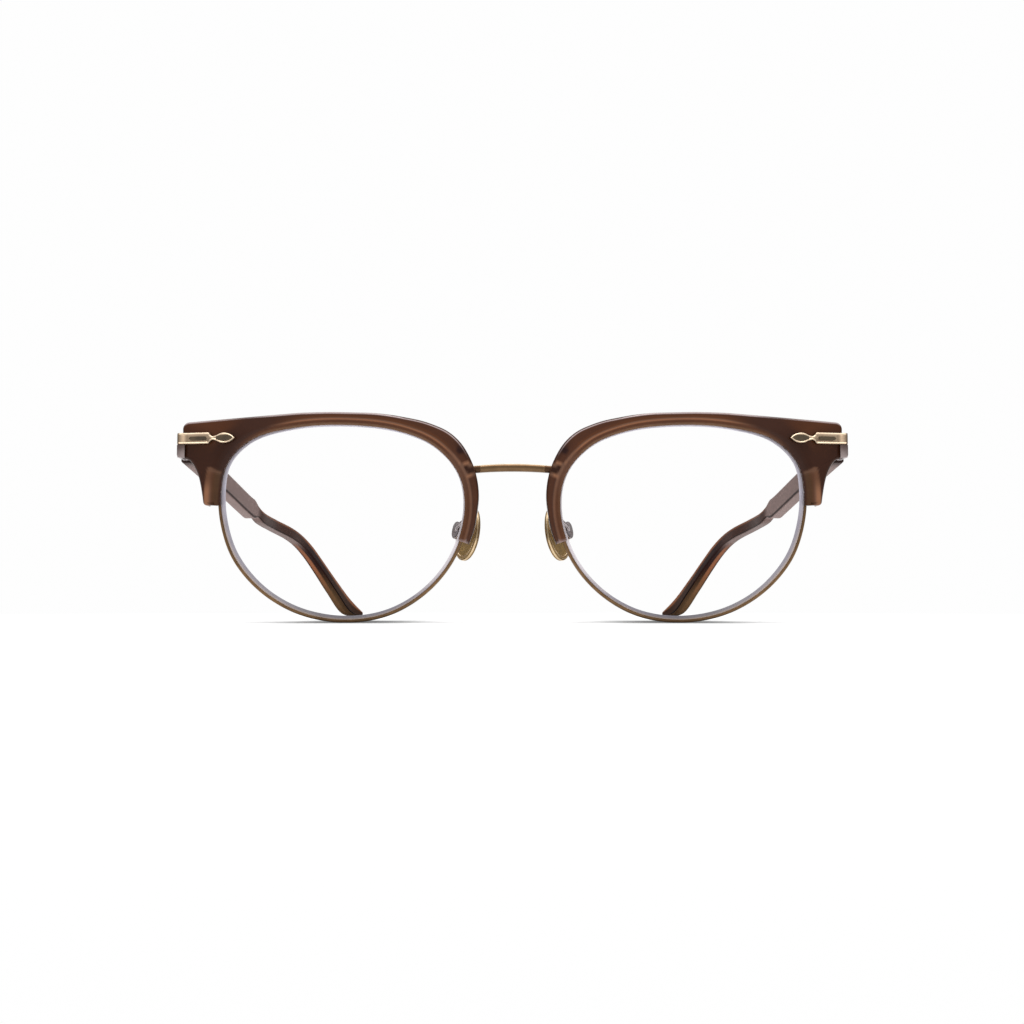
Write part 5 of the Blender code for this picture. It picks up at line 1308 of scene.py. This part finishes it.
def temple_tones(share, out, up):
    """Tones round one section of the temple: its share of the length, and places from -1 to 1 in it."""
    front = 1 - ramp(share, 0.27, 0.36)
    tail = ramp(share, 0.56, 0.68)
    tip = ramp(share, 0.74, 0.88)
    low = up < -0.85
    under = low & (out > -0.9)
    inside = ~under & (out < -0.7)
    tones = Tones(UMBER, len(out))
    mix = tones.mix
    # Painted reflection over the front part of the temple.
    mix(PLUM_REFLECTION, front)
    # Painted reflection of the floor on the underside, fading along the temple.
    mix(LILAC_FLOOR_REFLECTION, under * (front + 0.6 * (1 - front) * (1 - tail)))
    mix(CORE_SHADE, under * tail * ramp(-out, -0.1, 0.2) * 0.9)
    # Painted glow of light through the edge, beside the dark core wire.
    mix(RUSSET_GLOW, under * tail * band(out, 0.28, 0.26, 0.2) * 0.95)
    mix(CORE_SHADE, under * ramp(out, 0.6, 0.8) * (1 - front) * (0.4 + 0.55 * tail))
    mix(CORE_SHADE, inside * (1 - front) * (0.45 + 0.5 * tail))
    # Painted glow lines along the inner face's upper edge.
    mix(RUSSET_GLOW, inside * (1 - front) * (1 - tail) * band(up, 0.72, 0.08, 0.2) * 0.5)
    mix(RUSSET_GLOW, inside * tail * band(up, 0.62, 0.12, 0.3) * 0.75)
    # Painted shade line along the lower inner edge.
    mix(PLUM_SHADE, (out < -0.6) * band(up, -0.86, 0.07, 0.06) * (1 - tail) * 0.95)
    mix(OLIVE, tip * (np.where(out > -0.9, 0.9, 0.15) - 0.4 * ramp(-out, -0.1, 0.8) * low))
    # Painted shade on the front end face, in the gap by the hinge.
    mix(PLUM_SHADE, (1 - ramp(share, 0.0, 0.02)) * 0.9)
    return tones.values


def make_temple(side):
    """Temple of constant rounded section, with its stepped edges and its swept tip."""
    stations = temple_stations(side)
    places = [station[0] for station in stations]
    last = len(stations) - 1
    rings, tones = [], []
    for index, (centre, tall, thick) in enumerate(stations):
        outward, run, upward = station_axes(side, places, index)
        profile = temple_profile(tall, thick, TEMPLE_CORNER)
        rings.append([centre + outward * out + upward * up for out, up in profile])
        out, up = np.array(profile).T
        tones.append(temple_tones(index / last, out / (thick / 2), up / (tall / 2)))
    for turn in quarter(6, 1):
        shrink = TIP_ROUNDING * (1 - math.cos(turn)) * 0.98
        corner = min(TEMPLE_CORNER + shrink * 0.3, (thick - shrink) * 0.45)
        end = centre + run * TIP_ROUNDING * 0.6 * math.sin(turn)
        rings.append([end + outward * out + upward * up
                      for out, up in temple_profile(tall - shrink, thick - shrink, corner)])
        tones.append(tones[last])
    middle = sum(rings[0], Vector()) / len(rings[0])
    rings.insert(0, [middle + (point - middle) * TEMPLE_LEAD for point in rings[0]])
    mesh = Skin().loft(rings).mesh()
    write_tint(mesh, np.concatenate([tones[0]] + tones))
    name = SIDE_NAMES[side]
    piece(f"temple_{name}", mesh, ["temple_acetate"], f"{name}_temple")


def make_temple_hinge(side):
    """Leaf let into the temple's inner face, with the middle barrel."""
    places = [station[0] for station in temple_stations(side)]
    start = places[0]
    axes = station_axes(side, places, 6)
    out_face = -TEMPLE_THICKNESS / 2 + LEAF_THICKNESS
    in_face = -TEMPLE_THICKNESS / 2 - 0.05 * MM
    centre = start + axes[0] * (out_face + in_face) / 2 + axes[1] * LEAF_LENGTH / 2
    skin = Skin().block(centre, axes, (out_face - in_face, LEAF_LENGTH, LEAF_HEIGHT), bevel=0.12 * MM)
    rivet = ((0.0, 0.62 * MM), (0.1 * MM, 0.62 * MM), (0.2 * MM, 0.45 * MM), (0.24 * MM, 0.1 * MM))
    for share in (0.45, 0.8):
        spot = start + axes[0] * in_face + axes[1] * LEAF_LENGTH * share
        skin.turned(spot + axes[0] * 0.05 * MM, -axes[0], rivet, 24)
    barrel(skin, side, TEMPLE_Z - BARREL_HEIGHT / 2, HINGE_X + 0.75 * MM, TEMPLE_IN_X + LEAF_THICKNESS / 2,
           HINGE_DEPTH - HINGE_LINK / 4, HINGE_DEPTH + BARREL_RADIUS * 0.8)
    name = SIDE_NAMES[side]
    piece(f"temple_hinge_{name}", skin.mesh(), ["grey_metal"], f"{name}_temple")


# Stage

BACKGROUND = 0.99
BACKDROP = (0.72, 0.95, 0.4, 1.0)
AHEAD = (-0.95, -0.66, 0.8, 0.4)
CEILING = (0.3, 0.85, 0.0, 1.8)
FILL = 0.85
FLOOR_TONE = 0.93
FLOOR_FADE = (0.14, 0.34)
# Painted contact shadow on the floor: where it lies under each rim and how it fades across and in depth.
CONTACT_X = 35.5 * MM
CONTACT_Y = -54.0 * MM
CONTACT_REACH = 44.0 * MM
CONTACT_ACROSS = ((0.0, 0.9), (6.0, 0.8), (10.0, 0.66), (14.0, 0.4), (18.0, 0.17), (26.0, 0.0))
CONTACT_DEEP = ((0.0, 1.0), (12.0, 1.0), (21.0, 0.66), (30.0, 0.22), (42.0, 0.0))

CAMERA_DISTANCE = 258.4 * MM
CAMERA_HEIGHT = 3.52 * MM
IMAGE_PIXELS = 1024
FOCAL_PIXELS = 1238.1
HORIZON_PIXELS = 94
SHIFT_PIXELS = -0.5
SENSOR = 36.0


def add_floor():
    """Pale floor that fades into the backdrop, with a soft contact shadow painted under each rim."""
    shape = bmesh.new()
    bmesh.ops.create_grid(shape, x_segments=1, y_segments=1, size=6.0)
    mesh = bpy.data.meshes.new("floor")
    shape.to_mesh(mesh)
    shape.free()
    floor = bpy.data.objects.new("floor", mesh)
    floor.location = (0.0, 0.0, cad_box[0][2] - 0.02 * MM)
    bpy.context.scene.collection.objects.link(floor)
    made, tree, shader = new_material("pale_floor")
    axes, place = axes_of(tree, "Object")
    shares = []
    for value, middle, stops in ((maths(tree, "ABSOLUTE", axes["X"]), CONTACT_X, CONTACT_ACROSS),
                                 (axes["Y"], CONTACT_Y, CONTACT_DEEP)):
        span = maths(tree, "ABSOLUTE", maths(tree, "SUBTRACT", value, middle))
        rows = [(spot * MM / CONTACT_REACH, (tone,) * 3) for spot, tone in stops]
        shares.append(toned(tree, maths(tree, "DIVIDE", span, CONTACT_REACH), rows, "B_SPLINE"))
    shade = vectors(tree, "MULTIPLY", dict(enumerate(shares)))
    bare = vectors(tree, "SUBTRACT", {0: PLAIN, 1: shade})
    colour = vectors(tree, "SCALE", {0: bare, "Scale": FLOOR_TONE})
    feed(tree, shader, {"Base Color": colour, "Roughness": 1.0, "Specular IOR Level": 0.0})
    fade = ranged(tree, vectors(tree, "LENGTH", {0: place}, "Value"), *FLOOR_FADE, kind="SMOOTHSTEP")
    rays = add_node(tree, "ShaderNodeLightPath").outputs
    seen = maths(tree, "MAXIMUM", maths(tree, "MAXIMUM", rays["Is Camera Ray"], rays["Is Glossy Ray"]),
                 rays["Is Transmission Ray"])
    white = add_node(tree, "ShaderNodeEmission", {"Strength": BACKGROUND})
    show_mix(tree, maths(tree, "MULTIPLY", fade, seen), shader, white)
    mesh.materials.append(made)


def add_world():
    """A white backdrop behind, as wide as a studio's, with soft light above and dimmer walls."""
    world = bpy.data.worlds.new("studio")
    bpy.context.scene.world = world
    world.use_nodes = True
    tree = world.node_tree
    axes = axes_of(tree, "Generated")[0]
    wall, ahead, above = [ranged(tree, axes[axis], *span, kind="SMOOTHSTEP")
                          for axis, span in (("Y", BACKDROP), ("Y", AHEAD), ("Z", CEILING))]
    gloss = maths(tree, "MAXIMUM", maths(tree, "MAXIMUM", wall, ahead), above)
    rays = add_node(tree, "ShaderNodeLightPath").outputs
    camera = maths(tree, "MULTIPLY", rays["Is Camera Ray"], BACKGROUND)
    fill = maths(tree, "MULTIPLY", rays["Is Diffuse Ray"], FILL)
    seen = maths(tree, "MAXIMUM", maths(tree, "MULTIPLY", gloss, rays["Is Glossy Ray"]),
                 maths(tree, "MAXIMUM", camera, rays["Is Transmission Ray"]))
    feed(tree, tree.nodes["Background"], {"Strength": maths(tree, "MAXIMUM", seen, fill),
                                          "Color": (1.0, 1.0, 1.0, 1.0)})


def add_lamp(name, place, target, size, power):
    lamp = bpy.data.lights.new(name, "AREA")
    lamp.shape = "RECTANGLE"
    lamp.size, lamp.size_y = size
    lamp.energy = power
    holder = bpy.data.objects.new(name, lamp)
    holder.location = place
    holder.rotation_euler = (Vector(target) - Vector(place)).to_track_quat("-Z", "Y").to_euler()
    bpy.context.scene.collection.objects.link(holder)


def add_camera():
    lens = bpy.data.cameras.new("camera")
    lens.sensor_width = SENSOR
    lens.lens = SENSOR * FOCAL_PIXELS / IMAGE_PIXELS
    lens.shift_x = SHIFT_PIXELS / IMAGE_PIXELS
    lens.clip_start = 0.005
    holder = bpy.data.objects.new("camera", lens)
    holder.location = (0.0, -CAMERA_DISTANCE - HALF_DEPTH, CAMERA_HEIGHT)
    holder.rotation_euler = (math.pi / 2 + math.atan(HORIZON_PIXELS / FOCAL_PIXELS), 0.0, 0.0)
    bpy.context.scene.collection.objects.link(holder)
    bpy.context.scene.camera = holder


def main():
    make_bridge()
    for side in (LEFT, RIGHT):
        for make in (make_brow, make_eyewire, make_lens, make_plaque, make_endpiece, make_screws,
                     make_nose_pad, make_pad_arm, make_temple, make_temple_hinge):
            make(side)
        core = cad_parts[f"temple_core_{SIDE_NAMES[side]}"]
        core.material_slots[0].material = LOOKS["screw_steel"]
    add_floor()
    add_world()
    add_lamp("top_light", (0.0, -0.25, 0.75), (0.0, -0.03, 0.02), (0.9, 0.5), 4.0)
    add_camera()
    bpy.context.scene.view_settings.view_transform = "Standard"


main()
